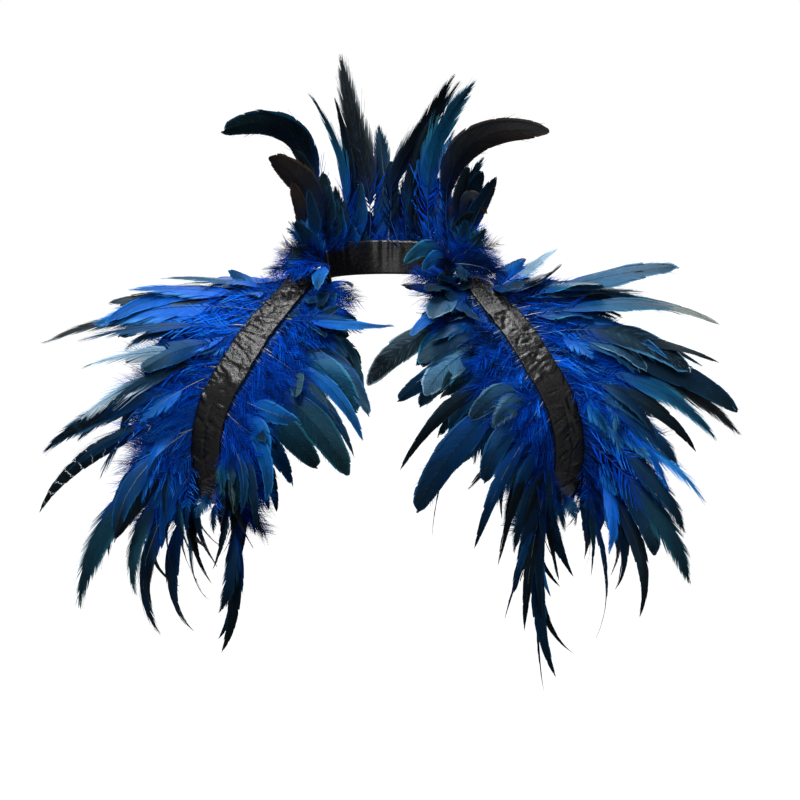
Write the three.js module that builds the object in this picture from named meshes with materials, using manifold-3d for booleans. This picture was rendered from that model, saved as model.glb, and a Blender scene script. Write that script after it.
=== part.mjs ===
// A feather shoulder cape: two satin arm bands that loop round the shoulders, feather fringes sewn
// under both edges of each band, and a stand-up collar band with a ruff of plumes.
// Millimetres, +Z up. The origin is the middle of the neck at shoulder height, the wearer faces -Y,
// and the wearer's left is +X. Each side is made on +X and the right side is then mirrored.
import * as THREE from "three";
import { mergeVertices } from "three/addons/utils/BufferGeometryUtils.js";
import Module from "manifold-3d";

const wasm = await Module();
wasm.setup();

// Driving dimensions
const BAND_WIDTH = 31;
const BAND_THICKNESS = 1.6;
const BAND_CROWN = 1.4; // how far the middle of the band stands above its edges
const BAND_STEPS = 42; // cross-sections round one arm loop
const TAPE_WIDTH = 11; // the tape that holds the quills of one fringe
const TAPE_THICKNESS = 1.4;
const TAPE_MIDDLE = 12; // from the middle of the band to the middle of a tape
const TAPE_STEP = 0.6; // stations between two cross-sections of a tape, about
const SEAM_GAP = 0.35; // clear space between pieces that are sewn together
const QUILL_START = 16.6; // from the middle of the band to where a quill starts, past its edge
const LIFT_SHARE = 0.1; // how far a feather bulges off the body, as a share of its length
const LEVEL_SHARE = 0.8; // how much of that is lost where the band faces straight up

const NECK_CENTRE_Y = 6;
const COLLAR_RADIUS = 63; // inner face at the lower edge
const COLLAR_HEIGHT = 34;
const COLLAR_FLARE = 5; // how far the upper edge leans out
const COLLAR_THICKNESS = 2;
const COLLAR_FOOT_Z = -5; // lower edge at the back of the neck
const COLLAR_DROP = 4; // how much lower it sits at its front ends
const COLLAR_END_DEG = 120; // from the middle of the back to each front end
const COLLAR_STEP_DEG = 10;
const COLLAR_TAPE_Z = [15, 27]; // lower and upper edge above the collar's foot

const SATIN = { color: 0x17171a, roughness: 0.38, metalness: 0 };
const BLUE_FEATHER = { color: 0x0d3fae, roughness: 0.6, metalness: 0 };
const DARK_FEATHER = { color: 0x14243c, roughness: 0.5, metalness: 0 };

// Rows of plain numbers as objects with named columns.
function table(columns, rows) {
  return rows.map((row) => Object.fromEntries(columns.map((name, i) => [name, row[i]])));
}

// The arm band's middle line, from the underarm up the front, over the shoulder beside the neck and
// down the back. face is the way that its outer side looks. Row numbers are the fringes' stations.
const ARM_LOOP = table(
  ["x", "y", "z", "faceX", "faceY", "faceZ"],
  [
    [170, 5, -228, 0.1, 0.0, -1.0], // underarm
    [172, -20, -217, 0.25, -0.45, -0.85],
    [175, -41, -197, 0.3, -0.75, -0.6],
    [177, -60, -170, 0.35, -0.9, -0.2],
    [173, -73, -140, 0.35, -0.93, 0.05],
    [163, -78, -111, 0.3, -0.93, 0.2], // front of the shoulder
    [147, -75, -84, 0.25, -0.9, 0.4],
    [128, -63, -54, 0.2, -0.75, 0.62],
    [106, -42, -29, 0.15, -0.5, 0.85],
    [88, -14, -9, 0.15, -0.2, 0.97],
    [82, 14, -2, 0.15, 0.1, 0.98], // beside the neck
    [90, 44, -12, 0.15, 0.4, 0.9],
    [112, 72, -37, 0.15, 0.72, 0.67],
    [138, 90, -66, 0.2, 0.88, 0.4],
    [160, 95, -104, 0.3, 0.93, 0.15], // shoulder blade
    [172, 86, -140, 0.35, 0.93, 0.0],
    [177, 68, -172, 0.35, 0.85, -0.3],
    [175, 38, -204, 0.25, 0.6, -0.75],
  ],
);

// One row for each lock of feathers: the station of its quill on the arm loop, where its tip lies, its
// width and its bow, the sideways bulge of the quill, positive to the left of its run seen from outside.
const LOCK = ["station", "x", "y", "z", "width", "bow"];

const SHOULDER_FRONT_LEFT = table(LOCK, [
  [1.2, 189, -60, -290, 7, 7],
  [1.6, 198, -70, -353, 7, 8],
  [2.0, 212, -85, -301, 14, 13],
  [2.6, 245, -95, -327, 14, 13],
  [3.4, 288, -100, -289, 28, 13],
  [4.2, 304, -105, -212, 15, 11],
  [5.2, 300, -100, -164, 16, 15],
  [5.6, 315, -95, -152, 20, 19],
  [6.0, 340, -70, -150, 20, 20],
  [6.3, 333, -80, -126, 26, 18],
  [6.8, 290, -95, -85, 26, 18],
  [7.2, 279, -75, -27, 22, 7],
  [7.6, 325, -60, -42, 16, 18],
  [8.0, 280, -45, 16, 24, 0],
  [8.7, 174, -20, 21, 22, 0],
]);

const SHOULDER_FRONT_RIGHT = table(LOCK, [
  [1.0, 180, -50, -324, 12, 18],
  [1.5, 190, -75, -348, 16, 14],
  [2.2, 224, -95, -336, 18, 18],
  [2.9, 262, -105, -245, 16, 8],
  [3.4, 296, -100, -306, 30, 18],
  [4.1, 339, -90, -226, 18, 20],
  [4.8, 331, -90, -164, 24, 13],
  [5.4, 293, -100, -132, 28, 13],
  [6.2, 291, -90, -84, 14, 6],
  [6.9, 294, -80, -61, 14, 10],
  [7.4, 335, -60, -47, 22, 11],
  [8.0, 285, -55, -22, 28, 8],
  [8.4, 262, -30, -14, 20, 6],
  [8.8, 225, -20, 2, 14, 5],
]);

// Both sides are alike from the top of the shoulder down the back.
const SHOULDER_BACK = table(LOCK, [
  [9.6, 190, 4, -22, 20, 4],
  [10.3, 222, 38, -28, 22, 5],
  [11.0, 240, 78, -46, 22, 5],
  [11.7, 246, 112, -72, 24, 6],
  [12.4, 250, 134, -102, 24, 7],
  [13.1, 250, 148, -134, 24, 8],
  [13.8, 248, 154, -176, 26, 8],
  [14.5, 244, 150, -216, 24, 10],
  [15.2, 232, 138, -256, 22, 10],
  [15.9, 216, 118, -288, 20, 10],
  [16.6, 198, 88, -304, 16, 8],
]);

const CHEST_LEFT = table(LOCK, [
  [1.5, 184, -58, -379, 9, -14],
  [1.9, 154, -75, -411, 7, -10],
  [2.2, 170, -84, -392, 16, -13],
  [2.8, 132, -97, -332, 14, -16],
  [3.3, 127, -107, -302, 20, -14],
  [3.8, 120, -117, -214, 20, -13],
  [4.2, 113, -118, -271, 14, -18],
  [4.6, 86, -126, -256, 24, -18],
  [5.3, 82, -122, -133, 24, -11],
  [5.7, 25, -130, -214, 32, -12],
  [6.1, 12, -122, -179, 16, -17],
  [6.5, 10, -116, -120, 18, -11],
  [6.9, 30, -114, -124, 26, -13],
  [7.3, 32, -108, -75, 18, -9],
  [7.8, -20, -98, -98, 24, -15],
  [8.1, 22, -92, -52, 12, -11],
  [8.5, 48, -84, -37, 24, -8],
  [8.9, 46, -74, -18, 16, -5],
]);

const CHEST_RIGHT = table(LOCK, [
  [1.2, 164, -55, -375, 14, -6],
  [1.6, 171, -66, -326, 22, -5],
  [2.0, 176, -78, -285, 12, 5],
  [2.5, 133, -92, -260, 10, -4],
  [3.0, 146, -106, -220, 16, -6],
  [3.5, 119, -116, -243, 12, -12],
  [4.0, 126, -119, -233, 14, -17],
  [4.4, 113, -121, -204, 18, -22],
  [4.8, 120, -121, -178, 20, -17],
  [5.3, 68, -126, -174, 26, -8],
  [5.9, 38, -126, -178, 30, -13],
  [6.3, 30, -121, -163, 14, -16],
  [6.6, 22, -121, -146, 14, -16],
  [7.0, 30, -120, -120, 28, -11],
  [7.3, 18, -118, -128, 22, -16],
  [7.7, -6, -120, -46, 18, 2],
  [8.2, 48, -92, -50, 18, -5],
  [8.8, 66, -70, -28, 18, -6],
]);

const BACK = table(LOCK, [
  [11.4, 46, 104, -20, 22, 6],
  [12.0, 36, 126, -62, 24, 8],
  [12.6, 30, 138, -104, 26, 10],
  [13.2, 34, 146, -146, 26, 11],
  [13.8, 56, 150, -182, 26, 12],
  [14.4, 80, 148, -208, 24, 12],
  [15.0, 104, 138, -232, 24, 12],
  [15.6, 126, 124, -258, 22, 12],
  [16.2, 142, 104, -282, 18, 11],
  [16.8, 154, 74, -300, 14, 8],
]);

// The collar's plumes: the angle of the quill from the middle of the back towards the wearer's left, a
// point that the middle of the plume passes, where the tip lies, and the width.
const COLLAR_PLUMES = table(
  ["angle", "midX", "midY", "midZ", "x", "y", "z", "width"],
  [
    [-112, -82, -30, 24, -96, -36, 8, 17],
    [-97, -82, 0, 80, -114, 4, 112, 28],
    [-68, -78, 38, 112, -164, 16, 141, 27],
    [-44, -46, 68, 102, -80, 78, 176, 16],
    [-31, -40, 82, 104, -55, 92, 174, 13],
    [-17, -27, 88, 112, -48, 98, 214, 28],
    [0, -4, 94, 84, -10, 116, 144, 24],
    [12, 17, 84, 114, 66, 100, 195, 15],
    [27, 34, 82, 84, 42, 104, 138, 18],
    [40, 45, 78, 112, 87, 92, 188, 26],
    [66, 67, 38, 114, 159, 48, 141, 25],
    [78, 76, 22, 72, 94, 24, 113, 19],
    [91, 80, 4, 72, 98, 4, 60, 18],
    [106, 70, -22, 44, 84, -26, 62, 16],
    [116, 42, -54, 30, 16, -72, 16, 17],
  ],
);
const PLUME_FRONT_SHARE = 2.2; // how far plumes turn their broad side to the front of the wearer

// Form of one lock: the downy foot is thick and the tip is a thin blade.
const LOCK_FORM = table(
  ["along", "widthShare", "thickness"],
  [
    [0, 0.5, 1.0],
    [0.14, 0.85, 5.5],
    [0.36, 1.0, 8.0],
    [0.64, 0.95, 3.6],
    [0.87, 0.58, 1.5],
  ],
);

const vector = (x, y, z) => new THREE.Vector3(x, y, z);

// A closed surface through cross-sections that all have the same number of points, in order along a
// run. A loop joins its last section to its first; a point finishes an open run in a tip.
function loft(sections, { loop = false, point = null } = {}) {
  const around = sections[0].length;
  const corners = sections.flat();
  const faces = [];
  const last = sections.length - (loop ? 0 : 1);
  for (let i = 0; i < last; i++) {
    const next = ((i + 1) % sections.length) * around;
    for (let j = 0; j < around; j++) {
      const k = (j + 1) % around;
      faces.push(i * around + j, i * around + k, next + k);
      faces.push(i * around + j, next + k, next + j);
    }
  }
  const fan = (start, tip) => {
    for (let j = 0; j < around; j++) {
      faces.push(start + j, start + ((j + 1) % around), tip);
    }
  };
  const cap = (start, forward) => {
    for (let j = 1; j < around - 1; j++) {
      faces.push(start, start + (forward ? j : j + 1), start + (forward ? j + 1 : j));
    }
  };
  if (!loop) {
    cap(0, false);
    const end = (sections.length - 1) * around;
    if (point) {
      corners.push(point);
      fan(end, corners.length - 1);
    } else {
      cap(end, true);
    }
  }
  const geometry = new THREE.BufferGeometry().setFromPoints(corners);
  geometry.setIndex(faces);
  return geometry;
}

function solid(geometry) {
  const merged = mergeVertices(geometry, 1e-4);
  const made = new wasm.Manifold(
    new wasm.Mesh({
      numProp: 3,
      vertProperties: merged.attributes.position.array,
      triVerts: new Uint32Array(merged.index.array),
    }),
  );
  if (made.volume() > 0) {
    return made;
  }
  merged.index.array.reverse();
  return solid(merged);
}

function geometryOf(manifold) {
  const { vertProperties, triVerts } = manifold.getMesh();
  const geometry = new THREE.BufferGeometry();
  geometry.setAttribute("position", new THREE.BufferAttribute(vertProperties, 3));
  geometry.setIndex(new THREE.BufferAttribute(triVerts, 1));
  return geometry;
}

function fused(manifolds) {
  return manifolds.reduce((sum, next) => sum.add(next));
}

// What is left of a fringe once its neighbours have their room: its one main body.
function cleared(manifold, neighbours) {
  const cut = neighbours.reduce((rest, next) => rest.subtract(next), manifold);
  return cut.decompose().sort((a, b) => b.volume() - a.volume())[0];
}

// The arm loop as smooth curves, and the frame of the band at a station: the middle of its inner side,
// the way that it faces, and across, which points from the chest or back to the arm.
const loopMiddle = new THREE.CatmullRomCurve3(
  ARM_LOOP.map((row) => vector(row.x, row.y, row.z)),
  true,
);
const loopFacing = new THREE.CatmullRomCurve3(
  ARM_LOOP.map((row) => vector(row.faceX, row.faceY, row.faceZ)),
  true,
);

function bandFrame(station) {
  const t = station / ARM_LOOP.length;
  const middle = loopMiddle.getPoint(t);
  const along = loopMiddle.getTangent(t);
  const facing = loopFacing.getPoint(t).projectOnPlane(along).normalize();
  return { middle, facing, across: along.clone().cross(facing) };
}

function placed(frame, across, out) {
  return frame.middle.clone().addScaledVector(frame.across, across).addScaledVector(frame.facing, out);
}

// The satin band: a ribbon with a slight crown. slack makes it larger all round, to cut its room.
function armBand(slack = 0) {
  const half = BAND_WIDTH / 2 + slack;
  const section = [
    [-half, -slack],
    [0, BAND_CROWN - slack],
    [half, -slack],
    [half, BAND_THICKNESS + slack],
    [0, BAND_CROWN + BAND_THICKNESS + slack],
    [-half, BAND_THICKNESS + slack],
  ];
  const sections = [];
  for (let i = 0; i < BAND_STEPS; i++) {
    const frame = bandFrame((i / BAND_STEPS) * ARM_LOOP.length);
    sections.push(section.map(([across, out]) => placed(frame, across, out)));
  }
  return solid(loft(sections, { loop: true }));
}

// The quill tape of a fringe, between two stations, under the arm side (+1) or body side (-1) of a band.
function fringeTape(side, first, last, slack) {
  const inner = TAPE_MIDDLE - TAPE_WIDTH / 2 - slack;
  const outer = TAPE_MIDDLE + TAPE_WIDTH / 2 + slack;
  const top = -SEAM_GAP + slack;
  const bottom = -SEAM_GAP - TAPE_THICKNESS - slack;
  const section = [
    [inner, bottom],
    [outer, bottom],
    [outer, top],
    [inner, top],
  ];
  const sections = [];
  const steps = Math.round((last - first) / TAPE_STEP);
  for (let i = 0; i <= steps; i++) {
    const frame = bandFrame(first + ((last - first) * i) / steps);
    sections.push(section.map(([across, out]) => placed(frame, side * across, out)));
  }
  return solid(loft(sections));
}

// One lock of feathers from its quill to its tip. bulge moves the middle of its line off the straight.
function lock(quill, tip, facing, bulge, width, slack) {
  const middle = quill.clone().lerp(tip, 0.5).add(bulge);
  const bend = middle.clone().multiplyScalar(2).sub(quill.clone().lerp(tip, 0.5));
  const line = new THREE.QuadraticBezierCurve3(quill, bend, tip);
  const sections = LOCK_FORM.map(({ along, widthShare, thickness }) => {
    const at = line.getPoint(along);
    const run = line.getTangent(along);
    const side = run.clone().cross(facing).normalize();
    const up = side.clone().cross(run);
    const half = (width * widthShare) / 2 + slack;
    const crest = thickness / 2 + slack;
    const keel = -thickness / 2 - slack;
    return [
      at.clone().addScaledVector(side, -half).addScaledVector(up, keel),
      at.clone().addScaledVector(up, crest),
      at.clone().addScaledVector(side, half).addScaledVector(up, keel),
    ];
  });
  return solid(loft(sections, { point: tip }));
}

function bandLock(row, side, slack) {
  const frame = bandFrame(row.station);
  const quill = placed(frame, side * QUILL_START, -SEAM_GAP - TAPE_THICKNESS / 2);
  const tip = vector(row.x, row.y, row.z);
  const chord = tip.clone().sub(quill);
  const left = frame.facing.clone().cross(chord).normalize();
  const lift = LIFT_SHARE * (1 - LEVEL_SHARE * Math.max(frame.facing.z, 0)) * chord.length();
  const bulge = left.multiplyScalar(row.bow).addScaledVector(frame.facing, lift);
  return lock(quill, tip, frame.facing, bulge, row.width, slack);
}

// A fringe: its tape with its locks fused to it.
function fringe(rows, side, slack = 0) {
  const stations = rows.map((row) => row.station);
  const first = Math.min(...stations) - TAPE_STEP;
  const last = Math.max(...stations) + TAPE_STEP;
  const locks = rows.map((row) => bandLock(row, side, slack));
  return fused([fringeTape(side, first, last, slack), ...locks]);
}

// A point of the collar's wall: an angle from the middle of the back, a height above its foot and a
// distance out from its inner face.
function collarFacing(angle) {
  const turn = THREE.MathUtils.degToRad(angle);
  return vector(Math.sin(turn), Math.cos(turn), 0);
}

function collarPoint(angle, height, out) {
  const foot = COLLAR_FOOT_Z - COLLAR_DROP * (Math.abs(angle) / COLLAR_END_DEG) ** 2;
  const radius = COLLAR_RADIUS + COLLAR_FLARE * (height / COLLAR_HEIGHT) + out;
  return collarFacing(angle)
    .multiplyScalar(radius)
    .add(vector(0, NECK_CENTRE_Y, foot + height));
}

// A curved wall of the collar between two heights and two distances out from its inner face.
function collarWall([low, high], [inner, outer], end) {
  const sections = [];
  const steps = Math.round((2 * end) / COLLAR_STEP_DEG);
  for (let i = 0; i <= steps; i++) {
    const angle = -end + (2 * end * i) / steps;
    sections.push([
      collarPoint(angle, low, inner),
      collarPoint(angle, low, outer),
      collarPoint(angle, high, outer),
      collarPoint(angle, high, inner),
    ]);
  }
  return solid(loft(sections));
}

function collarBand(slack = 0) {
  return collarWall(
    [-slack, COLLAR_HEIGHT + slack],
    [-slack, COLLAR_THICKNESS + slack],
    COLLAR_END_DEG,
  );
}

function collarPlumes() {
  const tapeFoot = COLLAR_THICKNESS + SEAM_GAP;
  const tape = collarWall(COLLAR_TAPE_Z, [tapeFoot, tapeFoot + TAPE_THICKNESS], COLLAR_END_DEG);
  const quillHeight = (COLLAR_TAPE_Z[0] + COLLAR_TAPE_Z[1]) / 2;
  const locks = COLLAR_PLUMES.map((row) => {
    const quill = collarPoint(row.angle, quillHeight, tapeFoot + TAPE_THICKNESS / 2);
    const facing = collarFacing(row.angle).add(vector(0, -PLUME_FRONT_SHARE, 0)).normalize();
    const tip = vector(row.x, row.y, row.z);
    const bulge = vector(row.midX, row.midY, row.midZ).sub(quill.clone().lerp(tip, 0.5));
    return lock(quill, tip, facing, bulge, row.width, 0);
  });
  return fused([tape, ...locks]);
}

function mesh(name, manifold, look) {
  const made = new THREE.Mesh(geometryOf(manifold), new THREE.MeshStandardMaterial(look));
  made.name = name;
  return made;
}

// Assembly
const ARM_SIDE = 1;
const BODY_SIDE = -1;
const collarRoom = collarBand(SEAM_GAP);
const bandRoom = armBand(SEAM_GAP);

function sideOf(label, shoulderRows, chestRows) {
  const shoulder = cleared(fringe(shoulderRows, ARM_SIDE), [bandRoom, collarRoom]);
  const shoulderRoom = fringe(shoulderRows, ARM_SIDE, SEAM_GAP);
  const chest = cleared(fringe(chestRows, BODY_SIDE), [bandRoom, collarRoom, shoulderRoom]);
  const back = cleared(fringe(BACK, BODY_SIDE), [bandRoom, collarRoom, shoulderRoom]);
  const side = new THREE.Group();
  side.add(
    mesh(`arm_band_${label}`, armBand(), SATIN),
    mesh(`shoulder_fringe_${label}`, shoulder, BLUE_FEATHER),
    mesh(`chest_fringe_${label}`, chest, BLUE_FEATHER),
    mesh(`back_fringe_${label}`, back, BLUE_FEATHER),
  );
  return side;
}

const left = sideOf("left", [...SHOULDER_FRONT_LEFT, ...SHOULDER_BACK], CHEST_LEFT);
const right = sideOf("right", [...SHOULDER_FRONT_RIGHT, ...SHOULDER_BACK], CHEST_RIGHT);
right.scale.x = -1;

const cape = new THREE.Group();
cape.add(
  left,
  right,
  mesh("collar_band", collarBand(), SATIN),
  mesh("collar_plumes", cleared(collarPlumes(), [collarRoom]), DARK_FEATHER),
);

export default cape;
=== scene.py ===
# A feather shoulder cape: satin arm bands, feather fringes with down at their feet, and a plume collar.
# Tables are in millimetres in the part's frame; meshes are in metres.
import math

import bmesh
import bpy
import numpy as np
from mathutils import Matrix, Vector


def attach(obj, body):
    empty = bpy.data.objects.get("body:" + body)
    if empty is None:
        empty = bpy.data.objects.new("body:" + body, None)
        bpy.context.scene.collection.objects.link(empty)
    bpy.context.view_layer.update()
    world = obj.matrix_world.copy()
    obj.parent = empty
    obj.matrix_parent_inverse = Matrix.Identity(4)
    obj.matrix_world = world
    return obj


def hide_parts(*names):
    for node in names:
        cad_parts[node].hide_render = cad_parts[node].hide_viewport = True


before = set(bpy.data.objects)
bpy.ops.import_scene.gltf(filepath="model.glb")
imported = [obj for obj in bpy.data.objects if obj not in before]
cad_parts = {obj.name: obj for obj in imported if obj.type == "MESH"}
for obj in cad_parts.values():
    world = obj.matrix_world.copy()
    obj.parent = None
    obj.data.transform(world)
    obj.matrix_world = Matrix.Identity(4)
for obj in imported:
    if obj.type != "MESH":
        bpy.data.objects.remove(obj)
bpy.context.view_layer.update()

MM = 0.001
SEED = 41
FORM_SEED_STEP = 100
DOWNY_SEED = 900
TINY = 1e-9
UP = np.array((0.0, 0.0, 1.0))
FRONT = np.array((0.0, -1.0, 0.0))
rng = np.random.default_rng(SEED)

# Sizes of the cape
BAND_WIDTH = 31
BAND_THICKNESS = 1.2
BAND_RISE = 2.8
BAND_CROWN = 0.7
BAND_CROWN_POWER = 4
BAND_STEPS = (760, 24)
LENGTH_STEPS = 400
TAPE_WIDTH = 11
TAPE_MIDDLE = 12
TAPE_DEPTH = 0.8
TAPE_STEPS = 60
TAPE_OVER = 0.4
QUILL_START = 16.6
QUILL_DEPTH = 1
NECK_CENTRE_Y = 6
COLLAR_RADIUS = 63
COLLAR_HEIGHT = 34
COLLAR_FLARE = 5
COLLAR_THICKNESS = 1.6
COLLAR_FOOT_Z = -5
COLLAR_DROP = 4
COLLAR_END_DEG = 120
COLLAR_ARC = math.radians(2 * COLLAR_END_DEG) * (COLLAR_RADIUS + COLLAR_FLARE / 2)
COLLAR_STEPS = (240, 16)
COLLAR_QUILL_HEIGHT = 21
COLLAR_QUILL_OUT = 3

# Picture frame, floor and light; lamps have a place and size in metres and a power in watts
FRAME_SIDE = 800
CAMERA_DISTANCE = 2600
CAMERA_ELEVATION_DEG = 7
CAMERA_AIM = (12, 0, -126)
CAMERA_FAR = 1000
SENSOR_MM = 36
FLOOR_Z = -1350
FLOOR_REACH = 300
FLOOR_GREY = 0.22
FLOOR_ROUGHNESS = 0.9
FLOOR_GLOW = 1.0
WORLD_GLOW = 0.25
LAMPS = (
    ("key", (-0.8, -1.1, 2.3), 1.0, 114),
    ("fill", (0.3, -2.6, 1.2), 1.4, 20),
    ("top", (0.3, 0.5, 2.2), 1.2, 50),
    ("back", (0.5, 2.6, 1.0), 1.6, 36),
    ("side_left", (1.5, -1.6, -0.2), 0.6, 2.2),
    ("side_right", (-1.5, -1.6, -0.2), 0.6, 2.2),
)


def table(columns, rows):
    return [dict(zip(columns, row)) for row in rows]


# Middle line of an arm band: underarm, up the front, over the shoulder, down the back.
ARM_LOOP = table(
    ("x", "y", "z", "face_x", "face_y", "face_z"),
    (
        (170, 5, -228, 0.1, 0.0, -1.0),
        (172, -20, -217, 0.25, -0.45, -0.85),
        (175, -41, -197, 0.3, -0.75, -0.6),
        (177, -60, -170, 0.35, -0.9, -0.2),
        (173, -73, -140, 0.35, -0.93, 0.05),
        (163, -78, -111, 0.3, -0.93, 0.2),
        (147, -75, -84, 0.25, -0.9, 0.4),
        (128, -63, -54, 0.2, -0.75, 0.62),
        (106, -42, -29, 0.15, -0.5, 0.85),
        (88, -14, -9, 0.15, -0.2, 0.97),
        (82, 14, -2, 0.15, 0.1, 0.98),
        (90, 44, -12, 0.15, 0.4, 0.9),
        (112, 72, -37, 0.15, 0.72, 0.67),
        (138, 90, -66, 0.2, 0.88, 0.4),
        (160, 95, -104, 0.3, 0.93, 0.15),
        (172, 86, -140, 0.35, 0.93, 0.0),
        (177, 68, -172, 0.35, 0.85, -0.3),
        (175, 38, -204, 0.25, 0.6, -0.75),
    ),
)

# Main feathers, one row each: the station of the quill on the arm loop, where the tip lies, width,
# sideways bow, form and dye. Both sides are written on +X.
FEATHER = ("station", "x", "y", "z", "width", "bow", "form", "dye")

SHOULDER_LEFT = table(
    FEATHER,
    (
        (1.2, 192, -60, -290, 6, 14, "string", "ink"),
        (1.4, 184, -58, -244, 16, -4, "downy", "navy"),
        (1.6, 200, -70, -353, 7, 18, "string", "ink"),
        (1.9, 212, -80, -285, 13, 20, "narrow", "navy"),
        (2.2, 220, -86, -301, 15, 22, "narrow", "ink"),
        (2.4, 190, -84, -238, 20, 4, "downy", "navy"),
        (2.6, 245, -95, -327, 15, 20, "narrow", "black"),
        (3.0, 258, -102, -262, 22, 12, "broad", "ink"),
        (3.4, 288, -100, -289, 30, 13, "frayed", "bottle"),
        (3.8, 286, -106, -240, 22, 11, "frayed", "ink"),
        (4.2, 304, -105, -212, 20, 11, "wispy", "sky"),
        (4.8, 280, -104, -178, 22, 11, "frayed", "navy"),
        (5.2, 300, -100, -164, 17, 15, "narrow", "black"),
        (5.6, 315, -95, -152, 22, 19, "frayed", "teal"),
        (5.9, 340, -70, -150, 26, 20, "frayed", "soot"),
        (6.2, 333, -80, -126, 26, 18, "broad", "ink"),
        (6.5, 318, -84, -84, 15, 13, "narrow", "black"),
        (6.8, 290, -95, -85, 27, 18, "broad", "edged"),
        (7.1, 304, -84, -84, 14, 14, "narrow", "teal"),
        (7.3, 279, -75, -27, 22, 7, "broad", "teal"),
        (7.7, 325, -60, -42, 16, 18, "narrow", "smoke"),
        (8.0, 280, -45, 14, 28, 0, "broad", "slate"),
        (8.4, 226, -30, -8, 24, 4, "broad", "navy"),
        (8.7, 168, -26, 24, 29, 0, "frayed", "pale"),
    ),
)

SHOULDER_RIGHT = table(
    FEATHER,
    (
        (1.0, 180, -50, -322, 12, 18, "wispy", "steel"),
        (1.5, 194, -75, -348, 17, 23, "narrow", "ink"),
        (1.9, 222, -86, -318, 12, 20, "narrow", "black"),
        (2.2, 226, -95, -346, 19, 25, "frayed", "ink"),
        (2.4, 192, -84, -240, 20, 4, "downy", "navy"),
        (2.6, 244, -100, -300, 20, 18, "frayed", "bottle"),
        (2.9, 262, -105, -248, 18, 8, "leaf", "black"),
        (3.4, 296, -100, -310, 30, 18, "frayed", "bottle"),
        (3.7, 264, -104, -248, 20, 14, "leaf", "navy"),
        (4.1, 339, -90, -226, 17, 20, "narrow", "barred"),
        (4.8, 331, -90, -164, 24, 13, "frayed", "edged"),
        (5.0, 298, -96, -152, 18, 12, "frayed", "navy"),
        (5.4, 293, -100, -132, 28, 13, "wispy", "pale"),
        (5.8, 270, -100, -122, 22, 11, "wispy", "ink"),
        (6.2, 291, -90, -84, 22, 6, "wispy", "pale"),
        (6.6, 236, -92, -86, 24, 6, "broad", "navy"),
        (6.9, 294, -80, -64, 24, 10, "wispy", "navy"),
        (7.4, 335, -60, -54, 31, 8, "frayed", "soot"),
        (7.7, 284, -66, -40, 38, 6, "frayed", "azure"),
        (8.0, 270, -50, -26, 24, 6, "leaf", "soot"),
        (8.2, 250, -46, -18, 28, 6, "frayed", "azure"),
        (8.4, 222, -34, -6, 15, 10, "frayed", "teal"),
        (8.8, 205, -20, -8, 18, 5, "frayed", "navy"),
    ),
)

CHEST_LEFT = table(
    FEATHER,
    (
        (1.5, 184, -58, -379, 9, -28, "narrow", "black"),
        (1.7, 160, -70, -312, 10, -16, "narrow", "sky"),
        (1.9, 154, -75, -408, 7, -18, "string", "ink"),
        (2.0, 182, -80, -232, 20, 6, "downy", "navy"),
        (2.2, 166, -84, -392, 16, -24, "narrow", "ink"),
        (2.4, 166, -86, -244, 16, 4, "downy", "ink"),
        (2.5, 150, -92, -330, 14, -14, "narrow", "ink"),
        (2.8, 132, -97, -336, 14, -16, "narrow", "black"),
        (3.1, 127, -104, -304, 18, -14, "leaf", "ink"),
        (3.5, 122, -112, -258, 18, -14, "frayed", "ink"),
        (3.8, 120, -117, -214, 18, -13, "frayed", "navy"),
        (4.2, 113, -118, -275, 13, -18, "narrow", "black"),
        (4.6, 86, -126, -258, 16, -18, "narrow", "navy"),
        (5.0, 92, -124, -190, 22, -14, "broad", "navy"),
        (5.1, 100, -126, -136, 26, -10, "frayed", "slate"),
        (5.3, 82, -122, -130, 24, -13, "broad", "slate"),
        (5.7, 25, -130, -214, 32, -12, "broad", "navy"),
        (5.9, 46, -126, -252, 5, -31, "string", "black"),
        (6.1, 12, -122, -179, 16, -17, "narrow", "black"),
        (6.5, 10, -116, -112, 20, -11, "broad", "navy"),
        (6.9, 36, -116, -106, 30, -13, "broad", "steel"),
        (7.3, 32, -108, -75, 22, -9, "broad", "ink"),
        (7.8, -20, -98, -98, 26, -15, "broad", "silver"),
        (8.1, 22, -92, -50, 14, -11, "broad", "azure"),
        (8.5, 44, -94, -30, 26, -8, "broad", "slate"),
        (8.9, 40, -80, -8, 22, -5, "broad", "ink"),
        (9.2, 58, -52, 22, 26, -3, "downy", "navy"),
    ),
)

CHEST_RIGHT = table(
    FEATHER,
    (
        (1.2, 164, -55, -377, 14, -15, "narrow", "black"),
        (1.6, 165, -66, -328, 18, -14, "frayed", "ink"),
        (2.0, 172, -78, -285, 12, -8, "string", "black"),
        (2.1, 184, -80, -232, 20, 6, "downy", "navy"),
        (2.3, 168, -86, -246, 16, 4, "downy", "ink"),
        (2.5, 133, -92, -262, 10, -4, "narrow", "black"),
        (3.0, 146, -106, -222, 17, -6, "wispy", "olive"),
        (3.5, 119, -116, -245, 13, -12, "narrow", "black"),
        (4.0, 126, -119, -235, 15, -17, "narrow", "ink"),
        (4.4, 113, -121, -206, 18, -22, "leaf", "blue"),
        (4.8, 120, -121, -178, 22, -17, "leaf", "blue"),
        (5.3, 68, -126, -176, 28, -8, "broad", "bottle"),
        (5.9, 38, -126, -180, 30, -13, "broad", "bottle"),
        (6.3, 30, -121, -165, 15, -16, "narrow", "navy"),
        (6.6, 22, -121, -148, 15, -16, "leaf", "blue"),
        (7.0, 30, -120, -122, 29, -11, "broad", "teal"),
        (7.3, 18, -118, -128, 22, -16, "leaf", "navy"),
        (7.7, -6, -120, -46, 18, 2, "leaf", "blue"),
        (8.2, 48, -92, -50, 18, -5, "leaf", "navy"),
        (8.8, 66, -70, -28, 18, -6, "leaf", "ink"),
    ),
)

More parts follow.
